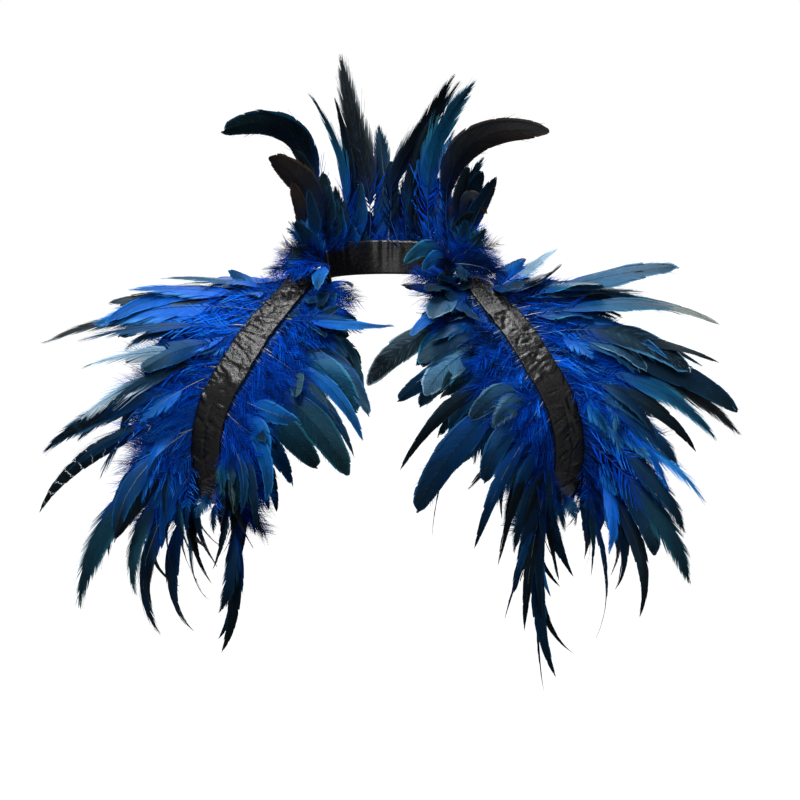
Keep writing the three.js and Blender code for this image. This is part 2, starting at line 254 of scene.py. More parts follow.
SHOULDER_BACK = table(
    FEATHER,
    (
        (9.6, 190, 4, -22, 22, -4, "broad", "navy"),
        (10.3, 222, 38, -28, 22, -5, "leaf", "teal"),
        (11.0, 240, 78, -46, 22, -5, "leaf", "black"),
        (11.7, 246, 112, -72, 24, -6, "broad", "ink"),
        (12.4, 250, 134, -102, 24, -7, "leaf", "edged"),
        (13.1, 250, 148, -134, 24, -8, "broad", "navy"),
        (13.8, 248, 154, -176, 26, -8, "leaf", "black"),
        (14.5, 244, 150, -216, 24, -10, "broad", "teal"),
        (15.2, 232, 138, -256, 22, -10, "leaf", "ink"),
        (15.9, 216, 118, -288, 20, -10, "narrow", "black"),
        (16.6, 198, 88, -304, 16, -8, "narrow", "navy"),
    ),
)

BACK = table(
    FEATHER,
    (
        (11.4, 46, 104, -20, 22, 6, "leaf", "ink"),
        (12.0, 36, 126, -62, 24, 8, "broad", "navy"),
        (12.6, 30, 138, -104, 26, 10, "leaf", "black"),
        (13.2, 34, 146, -146, 26, 11, "broad", "slate"),
        (13.8, 56, 150, -182, 26, 12, "leaf", "ink"),
        (14.4, 80, 148, -208, 24, 12, "broad", "bottle"),
        (15.0, 104, 138, -232, 24, 12, "leaf", "blue"),
        (15.6, 126, 124, -258, 22, 12, "narrow", "black"),
        (16.2, 142, 104, -282, 18, 11, "narrow", "ink"),
        (16.8, 154, 74, -300, 14, 8, "narrow", "black"),
    ),
)

# Collar plumes: angle of the quill from the middle of the back towards the wearer's left, a point that
# the middle of the plume passes, where the tip lies, width, form and dye, and for some a wave and a twist.
PLUME = ("angle", "mid_x", "mid_y", "mid_z", "x", "y", "z", "width", "form", "dye", "wave", "twist")
COLLAR = table(
    PLUME,
    (
        (-118, -66, -46, 6, -68, -60, -10, 18, "leaf", "blue"),
        (-112, -82, -30, 24, -96, -36, 8, 17, "leaf", "black"),
        (-104, -72, -18, 50, -78, -20, 84, 15, "leaf", "ink"),
        (-97, -78, 0, 82, -116, 4, 114, 32, "broad", "umber", 0.03, 0.2),
        (-84, -74, 16, 78, -92, 22, 122, 18, "leaf", "black"),
        (-68, -84, 38, 120, -164, 16, 141, 34, "broad", "raven", -0.05, 0.45),
        (-44, -46, 68, 102, -80, 78, 176, 20, "frayed", "teal"),
        (-31, -40, 82, 104, -55, 92, 174, 13, "narrow", "black"),
        (-17, -27, 88, 112, -48, 98, 214, 36, "frayed", "soot", 0.02, 0.3),
        (0, -4, 94, 84, -10, 116, 144, 26, "frayed", "ink"),
        (12, 17, 84, 114, 66, 100, 195, 26, "frayed", "black", -0.05, -0.5),
        (18, 24, 86, 96, 70, 98, 186, 18, "frayed", "black"),
        (27, 34, 82, 84, 42, 104, 138, 18, "leaf", "navy"),
        (40, 45, 78, 112, 87, 92, 188, 32, "frayed", "teal"),
        (52, 56, 62, 90, 66, 74, 140, 20, "wispy", "sky"),
        (66, 68, 38, 112, 159, 48, 141, 32, "broad", "umber", 0.02, 0.0),
        (78, 76, 22, 72, 94, 24, 113, 24, "frayed", "edged"),
        (84, 72, 14, 70, 80, 16, 106, 17, "leaf", "black"),
        (91, 80, 4, 72, 98, 4, 60, 18, "leaf", "umber"),
        (106, 70, -22, 44, 84, -26, 62, 16, "leaf", "black"),
        (112, 48, -50, 20, 34, -66, 8, 16, "leaf", "blue"),
        (114, 68, -34, 12, 76, -44, -2, 24, "downy", "navy"),
        (116, 42, -54, 30, 16, -72, 16, 17, "leaf", "teal"),
    ),
)
PLUME_FRONT_SHARE = 2.2

# Dyes: colours in sRGB at the foot, middle and tip of a feather and along its edges, and how strongly
# pale cross marks show. The edge colour is partly the feather's paler edge and partly a painted sheen.
# "down" dyes run from the root to the end of a soft barb.
DYE = ("name", "foot", "middle", "tip", "edge", "marks")
DYES = table(
    DYE,
    (
        ("royal", (4, 56, 150), (4, 70, 160), (5, 56, 116), (22, 104, 190), 0),
        ("blue", (4, 54, 140), (6, 68, 132), (7, 46, 84), (40, 114, 172), 0),
        ("azure", (4, 62, 164), (6, 70, 158), (14, 62, 112), (52, 124, 190), 0),
        ("sky", (6, 56, 160), (22, 100, 176), (26, 92, 146), (92, 156, 206), 0),
        ("navy", (4, 44, 112), (5, 40, 80), (6, 22, 37), (18, 70, 110), 0),
        ("ink", (4, 36, 90), (5, 26, 50), (5, 12, 17), (16, 54, 80), 0),
        ("teal", (4, 42, 120), (7, 56, 88), (8, 34, 48), (44, 116, 142), 0),
        ("bottle", (4, 32, 94), (6, 33, 47), (7, 18, 22), (28, 76, 88), 0),
        ("olive", (6, 40, 100), (40, 66, 67), (30, 42, 38), (88, 112, 106), 0),
        # A paler feather whose colours also carry a painted sheen and glare.
        ("steel", (8, 54, 130), (50, 88, 116), (48, 76, 98), (124, 158, 182), 0),
        ("slate", (6, 46, 116), (28, 62, 90), (20, 42, 62), (88, 130, 158), 0),
        ("silver", (8, 34, 80), (20, 30, 38), (14, 18, 22), (122, 140, 150), 0),
        # A pale feather whose whiter colours are partly a painted sheen and glare.
        ("pale", (16, 70, 140), (88, 116, 138), (134, 156, 172), (200, 212, 220), 0),
        ("edged", (4, 34, 96), (8, 16, 26), (7, 9, 12), (64, 124, 167), 0),
        ("black", (4, 24, 64), (6, 9, 14), (5, 6, 8), (22, 34, 46), 0),
        ("barred", (4, 24, 64), (7, 10, 14), (7, 8, 9), (30, 42, 52), 1),
        ("soot", (6, 24, 64), (12, 16, 20), (28, 32, 34), (86, 92, 95), 0),
        ("smoke", (4, 24, 64), (10, 16, 21), (112, 118, 115), (104, 114, 112), 0),
        ("umber", (5, 18, 48), (15, 12, 12), (30, 22, 18), (56, 42, 33), 0),
        ("raven", (5, 30, 66), (7, 11, 15), (11, 20, 21), (14, 66, 96), 0),
        ("shaft", (30, 66, 130), (14, 34, 62), (8, 12, 18), (14, 34, 62), 0),
        ("pale_shaft", (150, 150, 136), (92, 108, 126), (24, 34, 46), (92, 108, 126), 0),
        ("tape", (6, 9, 18), (6, 9, 18), (6, 9, 18), (6, 9, 18), 0),
        # Down dyes: dark at the root as painted shade where the down lies deep, bright at the end as a
        # painted highlight, over the dyed blue.
        ("down_royal", (2, 26, 100), (3, 58, 170), (8, 92, 214), (8, 92, 214), 0),
        ("down_deep", (2, 16, 62), (3, 38, 118), (6, 62, 160), (6, 62, 160), 0),
        ("down_dark", (2, 9, 26), (4, 20, 54), (8, 36, 80), (8, 36, 80), 0),
        ("down_bright", (3, 44, 140), (8, 92, 214), (56, 146, 246), (56, 146, 246), 0),
    ),
)
DYE_INDEX = {row["name"]: i for i, row in enumerate(DYES)}

# Forms of feather: the share of the length that is fluff, soft barbs a side there, how far barbs lean
# towards the tip, where the vane is widest, how pointed the tip is, how far along its barbs the vane is
# closed, loose barb ends a side beyond that, how broadly they overlap, how much they taper, how uneven
# their reach is, how far they gather into strands, the chance of a split on a side, and stray hairs a side.
FORM = ("name", "fluff", "soft", "lean", "widest", "point", "closed")
FORM += ("ends", "overlap", "taper", "uneven", "gather", "split", "hairs")
FORMS = table(
    FORM,
    (
        ("broad", 0.26, 10, 0.26, 0.66, 0.32, 0.88, 32, 2.4, 0.4, 0.03, 0.25, 0.6, 8),
        ("leaf", 0.26, 10, 0.28, 0.58, 0.46, 0.84, 34, 2.3, 0.45, 0.04, 0.25, 0.65, 9),
        ("narrow", 0.2, 8, 0.2, 0.5, 0.7, 0.8, 26, 2.1, 0.5, 0.05, 0.25, 0.3, 6),
        ("frayed", 0.3, 12, 0.34, 0.56, 0.46, 0.6, 48, 1.7, 0.85, 0.1, 0.2, 0.7, 12),
        ("wispy", 0.34, 12, 0.38, 0.52, 0.5, 0.3, 48, 1.3, 0.85, 0.2, 0.6, 0.6, 10),
        ("downy", 0.52, 16, 0.32, 0.66, 0.45, 0.36, 34, 1.4, 0.85, 0.14, 0.4, 0.3, 8),
        ("string", 0.1, 4, 0.14, 0.35, 1.1, 0.6, 12, 1.5, 0.7, 0.1, 0.3, 0.0, 3),
    ),
)

# Vanes: a template is 1 long and its half width is 1. A wave is a height and how fast it turns.
FIRM, SOFT, SHAFT = 0, 1, 2
VARIANTS = 6
VANE_STEPS = 10
VANE_START = 0.85
VANE_DROOP = 0.16
VANE_WAVE = (0.06, 11)
RISE_START = 0.2
RISE_POWER = 0.6
LEAN_POWER = 0.55
ROOT_POWER = 1.3
REACH_POWER = 0.9
SWEEP_POWER = 1.3
SWEEP_LONG = (0.012, 9)
SWEEP_SHORT = (0.006, 25)
LAST_ROOT = 0.985
LAST_END = 0.995
TIP_ROUND = 0.06
SPLIT_FROM = 0.15
SPLIT_TO = 0.85
NO_SPLIT = 2.0
SPLIT_SWEEP = 0.06
SPLIT_SPAN = 0.07
CLOSED_LANE = 0.6
CLOSED_OVERLAP = 0.9
STRAND_ENDS = (2, 8)
STRAND_MEET = (0.2, 0.8)
STRAND_UNEVEN = (-1, 0.5)
STRAND_LIFT = 0.04
END_UNEVEN = (-0.4, 0.4)
HAIR_ROOTS = (0, 0.9)
HAIR_START = 0.8
HAIR_REACH = (1.06, 1.3)
HAIR_LIFT = 0.1
HAIR_BREADTH = 0.007
HAIR_TAPER = 0.7
SHAFT_SEGMENTS = 6
SHAFT_BREADTH = 0.06
SHAFT_TAPER = 0.8
SHAFT_REACH = 0.97
SHAFT_HEIGHT = 0.03
PALE_SHAFT_SHARE = 0.1

# Soft barbs, at the feet of feathers and on downy plumes
BARB_SEGMENTS = 2
BARB_POWER = 1.4
BARB_TAPER = 0.8
BARB_SHADES = (0, 0.3)
BARB_SHADE_RISE = 0.7
FLUFF_START = 0.02
FLUFF_SPAN = 1.1
FLUFF_REACH = (0.85, 1.35)
FLUFF_FOOT = 0.65
FLUFF_LEAN = 0.14
FLUFF_LEAN_WAVE = (0.03, 40)
FLUFF_LEAN_STRAY = 0.015
FLUFF_RISE_WAVE = (0.25, 30)
FLUFF_RISE_STRAY = 0.12
FLUFF_CURL = (-0.1, 0.15)
FLUFF_THICKNESS = (0.012, 0.018)
DOWNY_VARIANTS = 8
DOWNY_BARBS = 32
DOWNY_LAST_ROOT = 0.92
DOWNY_POINT = (2.4, 0.7)
DOWNY_FOOT = 0.45
DOWNY_FULL_FROM = 0.3
DOWNY_REACH = (0.75, 1.15)
DOWNY_LEAN = 0.4
DOWNY_LEAN_WAVE = (0.1, 12)
DOWNY_LEAN_STRAY = 0.02
DOWNY_LEAN_FALL = 0.45
DOWNY_RISE = 0.1
DOWNY_RISE_WAVE = (0.22, 14)
DOWNY_RISE_STRAY = 0.05
DOWNY_CURL = -0.1
DOWNY_CURL_WAVE = (0.22, 9)
DOWNY_CURL_STRAY = 0.04
DOWNY_THICKNESS = (0.014, 0.024)
DOWNY_SHAFT_BREADTH = 0.05

# Dyed barbs: a feather takes its colours from its dye's lane in one shared atlas; the atlas also paints a
# sheen on vane rims and glints along the barbs.
LANE_HALF = 0.46
LANE_ENDS = (0.002, 0.998)
FINE_NOISE = {"Scale": 1.0, "Detail": 2.0, "Roughness": 0.6}
PATCH_NOISE = {"Scale": 1.0, "Detail": 1.0}
PATCH_ALONG = 4.0
PATCH_SHIFT = 0.35
FOOT_TO_MIDDLE = (0.15, 0.48)
MIDDLE_TO_TIP = (0.5, 0.92)
# Pale vane rims: partly a paler edge colour, partly a painted sheen.
SHEEN_RIM_ACROSS = (0.26, 0.46)
SHEEN_RIM_ALONG = (0.1, 0.5)
SHEEN_RIM_SHARE = 0.7
# Painted glints: highlights painted along the barbs in the edge colour.
PAINTED_GLINT = (0.55, 0.75)
PAINTED_GLINT_SHARE = 0.28
MARK_SLANT = 0.28
MARK_WAVES = {"Scale": 3.8, "Distortion": 0.8}
MARK_LINE = (0.985, 0.998)
MARK_SHARE = 0.75
MARK_COLOUR = (205, 215, 220)
SHEEN = (0.28, 0.7, 1.0, 1.0)
STREAK_RANGE = (0.2, 0.8)
STREAK_ROUGHNESS = 0.12
BARB_RELIEF = 0.0004
FINISHES = table(
    ("name", "streaks", "roughness", "gloss", "bump"),
    (
        ("vane", (5.0, 110.0, 1.8), 0.4, 0.15, 0.4),
        ("down", (3.0, 3.0, 1.2), 0.8, 0.0, 0.0),
    ),
)
VANE_SLOT, DOWN_SLOT = 0, 1

# Black satin: its crushed stretch is counted along the band in widths.
SATIN_COLOUR = (3, 3, 4)
SATIN_PALER = 12
SATIN_GLOSS = 0.45
SATIN_BUMP = 0.6
SATIN_RELIEF = 0.002
CRUSH_FROM, CRUSH_TO = 6.5, 16.5
CRUSH_BLEND = 1
CRUSH_NOISE = {"Scale": 1.0, "Detail": 3.0, "Roughness": 0.55, "Distortion": 0.6}
CRUSH_SCALE = (7.0, 9.0, 1.0)
CRUSH_RANGE = (0.3, 0.7)
CRUSH_ROUGHNESS = (0.18, 0.32)
CRUSH_DEPTH = (0.2, 1.0)
WEAVE_WAVES = {"Scale": 26.0, "Distortion": 0.5}
WEAVE_HEIGHT = 0.04
MERGE_DISTANCE = 1e-6
ARM_BANDS = table(("label", "sign", "seed"), (("left", 1, 5), ("right", -1, 6)))
SCALLOP = 0.03
SCALLOP_TURNS = 7
SEAM_PLACE = 0.06
SEAM_DEPTH = 0.5
SEAM_BREADTH = 0.035
CREASES = table(
    ("count", "stations", "height", "breadth", "length", "stray"),
    (
        (130, (5.6, 13.5), 0.75, (1.3, 2.6), (2.5, 7), 0.7),
        (40, (5.6, 13.5), 1.1, (2.6, 4.6), (4, 9), 0.6),
        (26, (5.8, 8.6), 0.8, (1.0, 1.8), (6, 16), 0.2),
        (64, (0.4, 5.8), 0.75, (1.2, 2.4), (3, 9), 0.7),
        (52, (13.3, 17.6), 0.75, (1.2, 2.4), (3, 9), 0.7),
        (90, (0, 18), 0.42, (1.6, 4.0), (5, 16), 0.6),
    ),
)
COLLAR_WAVE = 0.5
COLLAR_WAVE_TURNS = 0.55
COLLAR_DRIFT = 3
COLLAR_DRIFT_TURNS = 0.13

# Fringes: fillers between the main feathers, short cover feathers, and downy plumes by the band.
ARM_SIDE, BODY_SIDE = 1, -1
LIFT_SHARE = 0.1
LEVEL_SHARE = 0.8
SPRING_REACH = 0.5
CURL_PART = 6
MAIN_UNREST = 0.24
LAYER_UNREST = 0.45
LAYERS = table(
    ("per_station", "reach", "width", "lift", "spring", "jitter", "dyes"),
    (
        (6.4, (0.46, 0.8), (15, 24), (0.03, 0.08), 0.25, 12, "vane"),
        (1.6, (0.36, 0.56), (18, 26), (0.06, 0.1), 0.45, 8, "cover"),
        (1.5, (0.62, 0.9), (14, 23), (0.1, 0.16), 0.3, 15, "vane"),
    ),
)
COVER_FORMS = ("downy", "downy", "wispy")
LAYERED_SHARE = 0.7
STRAY_BOW = 9
PLUMES_PER_STATION = 24
PLUME_START = 13
PLUME_LENGTH = {ARM_SIDE: (46, 86), BODY_SIDE: (36, 66)}
PLUME_WIDTH = (24, 36)
PLUME_SQUARE = 0.8
PLUME_FOLLOW = 0.5
PLUME_STRAY = 0.14
PLUME_LIFT = (0.05, 0.34)
PLUME_DROP = 0.3
PLUME_TWIST = 0.25
PLUME_CURL = 0.05
TUFT_SPAN = 0.5
TUFT_SHARE = 0.6
TUFT_OVER = 0.3

# By place on the arm loop: stations up to the first number take the first row, and so on. A row has the
# share of layered feathers that are laid, their share of width, their forms, and dyes.
ZONE = ("up_to", "laid", "slim", "forms", "vane", "cover", "down")
SLIM_FORMS = ("narrow", "frayed", "narrow", "string")
FLUFFY_FORMS = ("downy", "frayed", "wispy", "downy", "narrow")
MIXED_FORMS = ("frayed", "leaf", "wispy", "narrow", "broad")
BRIGHT_DOWN = ("down_bright", "down_royal", "down_bright", "down_deep")
ROYAL_DOWN = ("down_royal", "down_deep", "down_royal", "down_deep", "down_dark", "down_bright")
LIGHTER_DOWN = ("down_bright", *ROYAL_DOWN)
DEEP_DOWN = ("down_deep", "down_royal", "down_dark", "down_deep")
DARK_DOWN = ("down_deep", "down_dark", "down_deep", "down_royal", "down_dark")
DARK_VANES = ("ink", "black", "navy", "ink", "bottle", "black")
BLUE_VANES = ("navy", "royal", "ink", "blue", "bottle", "royal")
SEA_VANES = ("navy", "teal", "ink", "blue", "bottle", "teal")
DIM_VANES = ("navy", "teal", "ink", "bottle", "navy", "slate")
AZURE_VANES = ("azure", "royal", "navy", "blue", "ink")
SLATE_VANES = ("blue", "teal", "navy", "slate", "ink")
NAVY_VANES = ("navy", "ink", "bottle", "navy")
DARK_COVER = ("navy", "ink", "navy", "royal")
BLUE_COVER = ("navy", "royal", "navy", "blue")
AZURE_COVER = ("royal", "azure", "royal")
FOOT_ZONE = (2.3, 0.45, 0.6, SLIM_FORMS, DARK_VANES, DARK_COVER, DEEP_DOWN)
BACK_ZONE = (18.0, 1, 1, MIXED_FORMS, SEA_VANES, BLUE_COVER, ROYAL_DOWN)
ZONES = {
    "left_arm": table(
        ZONE,
        (
            FOOT_ZONE,
            (5.0, 0.45, 0.9, FLUFFY_FORMS, BLUE_VANES, BLUE_COVER, ROYAL_DOWN),
            (6.2, 0.8, 1, MIXED_FORMS, SEA_VANES, BLUE_COVER, ROYAL_DOWN),
            (9.5, 1, 1, MIXED_FORMS, SLATE_VANES, BLUE_COVER, LIGHTER_DOWN),
            BACK_ZONE,
        ),
    ),
    "right_arm": table(
        ZONE,
        (
            FOOT_ZONE,
            (5.0, 0.45, 0.9, FLUFFY_FORMS, BLUE_VANES, BLUE_COVER, BRIGHT_DOWN),
            (6.4, 0.6, 0.9, MIXED_FORMS, DARK_VANES, BLUE_COVER, ROYAL_DOWN),
            (9.5, 1, 1, MIXED_FORMS, AZURE_VANES, AZURE_COVER, BRIGHT_DOWN),
            BACK_ZONE,
        ),
    ),
    "left_body": table(
        ZONE,
        (
            FOOT_ZONE,
            (4.6, 1, 0.66, SLIM_FORMS, DARK_VANES, DARK_COVER, DEEP_DOWN),
            (6.2, 0.8, 1, MIXED_FORMS, DIM_VANES, DARK_COVER, ROYAL_DOWN),
            (9.5, 1, 1, MIXED_FORMS, DIM_VANES, DARK_COVER, DARK_DOWN),
            BACK_ZONE,
        ),
    ),
    "right_body": table(
        ZONE,
        (
            FOOT_ZONE,
            (3.2, 1, 0.66, SLIM_FORMS, DARK_VANES, DARK_COVER, DEEP_DOWN),
            (6.2, 0.8, 0.9, MIXED_FORMS, SEA_VANES, DARK_COVER, DEEP_DOWN),
            (9.5, 1, 1, MIXED_FORMS, NAVY_VANES, DARK_COVER, DARK_DOWN),
            BACK_ZONE,
        ),
    ),
}

# Collar: rows of shorter feathers between the plumes, and downy plumes that drape over its ends.
STANDING_FORMS = ("leaf", "broad", "frayed")
STANDING_DYES = ("ink", "black", "umber", "raven", "navy")
LEANING_FORMS = ("downy", "leaf", "wispy")
LEANING_DYES = ("ink", "navy", "bottle", "blue")
COLLAR_ROWS = table(
    ("end", "step", "length", "width", "lean", "forms", "dyes"),
    (
        (90, 6, (44, 94), (16, 25), (0.0, 0.34), STANDING_FORMS, STANDING_DYES),
        (114, 4, (28, 52), (15, 22), (0.1, 0.5), LEANING_FORMS, LEANING_DYES),
        (118, 1.5, (22, 48), (18, 28), (0.15, 1.2), ("plume",), ("shaft",)),
    ),
)
COLLAR_DOWN = ("down_deep", "down_dark", "down_dark", "down_royal")
COLLAR_PLUME_TWIST = 0.2
COLLAR_STRAY_DEG = 14
COLLAR_ARCH = (0.25, 0.2)
COLLAR_TWIST = 0.5
COLLAR_CURL = 0.06
DRAPE_DEG = (88, 119)
DRAPES = 13
DRAPE_LENGTH = (36, 58)
DRAPE_WIDTH = (20, 30)
DRAPE_LEAN = (1.15, 1.6)


def smooth(low, high, x):
    t = np.clip((x - low) / (high - low), 0, 1)
    return t * t * (3 - 2 * t)


def unit(vectors):
    return vectors / np.maximum(np.linalg.norm(vectors, axis=-1, keepdims=True), TINY)


def ripple(wave, at, phase):
    height, turns = wave
    return height * math.sin(turns * at + phase)


def closed_curve(points):
    """A smooth closed curve through points, or its slope, as a function of the station."""
    points = np.array(points, float)
    count = len(points)
    spans = np.linalg.norm(np.roll(points, -1, axis=0) - points, axis=1) ** 0.5

    def at(stations, slope=False):
        stations = np.atleast_1d(np.asarray(stations, float)) % count
        i = np.floor(stations).astype(int) % count
        t = (stations - np.floor(stations))[:, None]
        before, first, second, after = (points[(i + k) % count] for k in (-1, 0, 1, 2))
        d0, d1, d2 = (spans[(i + k) % count][:, None] for k in (-1, 0, 1))
        leave = (first - before) / d0 - (second - before) / (d0 + d1) + (second - first) / d1
        reach = (second - first) / d1 - (after - first) / (d1 + d2) + (after - second) / d2
        leave = leave * d1
        reach = reach * d1
        square = -3 * first + 3 * second - 2 * leave - reach
        cube = 2 * first - 2 * second + leave + reach
        if slope:
            return leave + 2 * square * t + 3 * cube * t**2
        return first + leave * t + square * t**2 + cube * t**3

    return at


loop_middle = closed_curve([(r["x"], r["y"], r["z"]) for r in ARM_LOOP])
loop_facing = closed_curve([(r["face_x"], r["face_y"], r["face_z"]) for r in ARM_LOOP])


def loop_length():
    points = loop_middle(np.linspace(0, len(ARM_LOOP), LENGTH_STEPS))
    return float(np.linalg.norm(np.diff(points, axis=0), axis=1).sum())


BAND_LENGTH = loop_length()


def band_frames(stations):
    middle = loop_middle(stations)
    along = unit(loop_middle(stations, slope=True))
    facing = loop_facing(stations)
    facing = unit(facing - along * (facing * along).sum(axis=1, keepdims=True))
    return middle, along, facing, np.cross(along, facing)


def band_frame(station):
    return tuple(v[0] for v in band_frames(station))


def collar_facing(angles):
    turn = np.radians(np.atleast_1d(angles))
    return np.stack([np.sin(turn), np.cos(turn), np.zeros_like(turn)], axis=1)


def collar_points(angles, heights, out):
    angles = np.atleast_1d(np.asarray(angles, float))
    foot = COLLAR_FOOT_Z - COLLAR_DROP * (np.abs(angles) / COLLAR_END_DEG) ** 2
    radius = COLLAR_RADIUS + COLLAR_FLARE * heights / COLLAR_HEIGHT + out
    points = collar_facing(angles) * np.reshape(radius, (-1, 1))
    points[:, 1] += NECK_CENTRE_Y
    points[:, 2] += foot + heights
    return points


# Feather templates: across in half widths, along from quill to tip, and height in half widths.
def feather_mesh():
    bm = bmesh.new()
    bm.verts.layers.int.new("kind")
    bm.verts.layers.float.new("lane_across")
    bm.verts.layers.float.new("lane_along")
    return bm


def add_grid(bm, steps, kind, shape):
    """Faces laid by shape(p, q), both from 0 to 1, which gives a place and a spot in the dye's lane."""
    kinds = bm.verts.layers.int["kind"]
    across = bm.verts.layers.float["lane_across"]
    along = bm.verts.layers.float["lane_along"]
    made = bmesh.ops.create_grid(bm, x_segments=steps[0], y_segments=steps[1], size=0.5)
    for vert in made["verts"]:
        vert.co, spot = shape(vert.co.x + 0.5, vert.co.y + 0.5)
        vert[kinds] = kind
        vert[across], vert[along] = spot


def template(bm):
    bm.verts.index_update()
    kinds = bm.verts.layers.int["kind"]
    across = bm.verts.layers.float["lane_across"]
    along = bm.verts.layers.float["lane_along"]
    made = {
        "corners": np.array([v.co for v in bm.verts], float),
        "kind": np.array([v[kinds] for v in bm.verts], int),
        "lane": np.array([(v[across], v[along]) for v in bm.verts], float),
        "faces": np.array([[v.index for v in f.verts] for f in bm.faces], int),
    }
    bm.free()
    return made


def vane_half_width(form, along):
    rise = smooth(form["fluff"] * RISE_START, form["widest"], along) ** RISE_POWER
    fall = np.clip((1 - along) / (1 - form["widest"]), 0, 1) ** form["point"]
    return float(rise * (fall if along > form["widest"] else 1))


def add_shaft(bm, breadth):
    def shaft(p, q):
        across = (q - 0.5) * breadth * (1 - SHAFT_TAPER * p)
        return Vector((across, SHAFT_REACH * p, SHAFT_HEIGHT)), (0, p)

    add_grid(bm, (SHAFT_SEGMENTS, 1), SHAFT, shaft)


def add_vane_side(bm, form, side, draw):
    """A closed sheet of hooked barbs by the shaft, and loose barb ends and hairs along its edge."""
    start = form["fluff"] * VANE_START
    closed = form["closed"]
    ends = form["ends"]
    phase = draw.uniform(0, math.tau, 3)
    split = draw.uniform(start + SPLIT_FROM, SPLIT_TO) if draw.random() < form["split"] else NO_SPLIT

    def spread(share):
        return start + (LAST_ROOT - start) * (1 - (1 - min(max(share, 0), 1)) ** ROOT_POWER)

    def corner(root, reach, lift):
        sweep = ripple(SWEEP_LONG, root, phase[0]) + ripple(SWEEP_SHORT, root, phase[1])
        if root > split:
            sweep += SPLIT_SWEEP * math.exp((split - root) / SPLIT_SPAN)
        end = root + form["lean"] * (1 - root) ** LEAN_POWER + sweep * reach
        across = side * vane_half_width(form, min(end, LAST_END)) * reach**REACH_POWER
        across *= min(max(LAST_ROOT - root, 0) / TIP_ROUND, 1) ** 0.5
        height = (lift + ripple(VANE_WAVE, root, phase[2])) * reach - VANE_DROOP * across**2
        return Vector((across, root + (end - root) * reach**SWEEP_POWER, height))

    def sheet(p, q):
        root = spread(p)
        return corner(root, closed * q, 0), (side * CLOSED_LANE * q, root)

    def loose_end(share, meet, last, lift):
        first = CLOSED_OVERLAP * closed

        def shape(p, q):
            breadth = form["overlap"] / ends * (1 - form["taper"] * p)
            root = spread(share + (meet - share) * form["gather"] * p + (q - 0.5) * breadth)
            lane = side * (CLOSED_LANE + (1 - CLOSED_LANE) * p)
            return corner(root, first + (last - first) * p, lift), (lane, root)

        return shape

    def hair(middle, last, lift):
        def shape(p, q):
            root = middle + (q - 0.5) * HAIR_BREADTH * (1 - HAIR_TAPER * p)
            return corner(root, HAIR_START + (last - HAIR_START) * p, lift), (side, root)

        return shape

    add_grid(bm, (VANE_STEPS, 2), FIRM, sheet)
    laid = 0
    while laid < ends:
        strand = range(laid, min(laid + int(draw.integers(*STRAND_ENDS)), ends))
        laid = strand.stop
        meet = (strand.start + len(strand) * draw.uniform(*STRAND_MEET)) / ends
        reached = 1 + form["uneven"] * draw.uniform(*STRAND_UNEVEN)
        lift = draw.normal(0, STRAND_LIFT)
        for i in strand:
            last = reached + form["uneven"] * draw.uniform(*END_UNEVEN)
            add_grid(bm, (1, 1), FIRM, loose_end((i + 0.5) / ends, meet, last, lift))
    for _ in range(form["hairs"]):
        middle = spread(draw.uniform(*HAIR_ROOTS))
        last = draw.uniform(*HAIR_REACH)
        add_grid(bm, (1, 1), FIRM, hair(middle, last, draw.normal(0, HAIR_LIFT)))


def add_soft_barb(bm, side, root, reach, lean, rise, curl, thick, shade):
    def barb(p, q):
        along = root + lean * p**BARB_POWER + (q - 0.5) * thick * (1 - BARB_TAPER * p)
        return Vector((side * reach * p, along, rise * p + curl * p * p)), (0, shade + BARB_SHADE_RISE * p)

    add_grid(bm, (BARB_SEGMENTS, 1), SOFT, barb)


def add_fluff_side(bm, form, side, draw):
    phase = draw.uniform(0, math.tau, 2)
    for i in range(form["soft"]):
        root = FLUFF_START + form["fluff"] * FLUFF_SPAN * (i + draw.uniform(0, 1)) / form["soft"]
        reach = draw.uniform(*FLUFF_REACH) * (FLUFF_FOOT + (1 - FLUFF_FOOT) * min(root / form["fluff"], 1))
        lean = FLUFF_LEAN + ripple(FLUFF_LEAN_WAVE, root, phase[0]) + draw.normal(0, FLUFF_LEAN_STRAY)
        rise = ripple(FLUFF_RISE_WAVE, root, phase[1]) + draw.normal(0, FLUFF_RISE_STRAY)
        thick = draw.uniform(*FLUFF_THICKNESS)
        curl = draw.normal(*FLUFF_CURL)
        add_soft_barb(bm, side, root, reach, lean, rise, curl, thick, draw.uniform(*BARB_SHADES))


def feather_template(form, seed):
    draw = np.random.default_rng(seed)
    bm = feather_mesh()
    for side in (-1, 1):
        add_vane_side(bm, form, side, draw)
        add_fluff_side(bm, form, side, draw)
    add_shaft(bm, SHAFT_BREADTH)
    return template(bm)


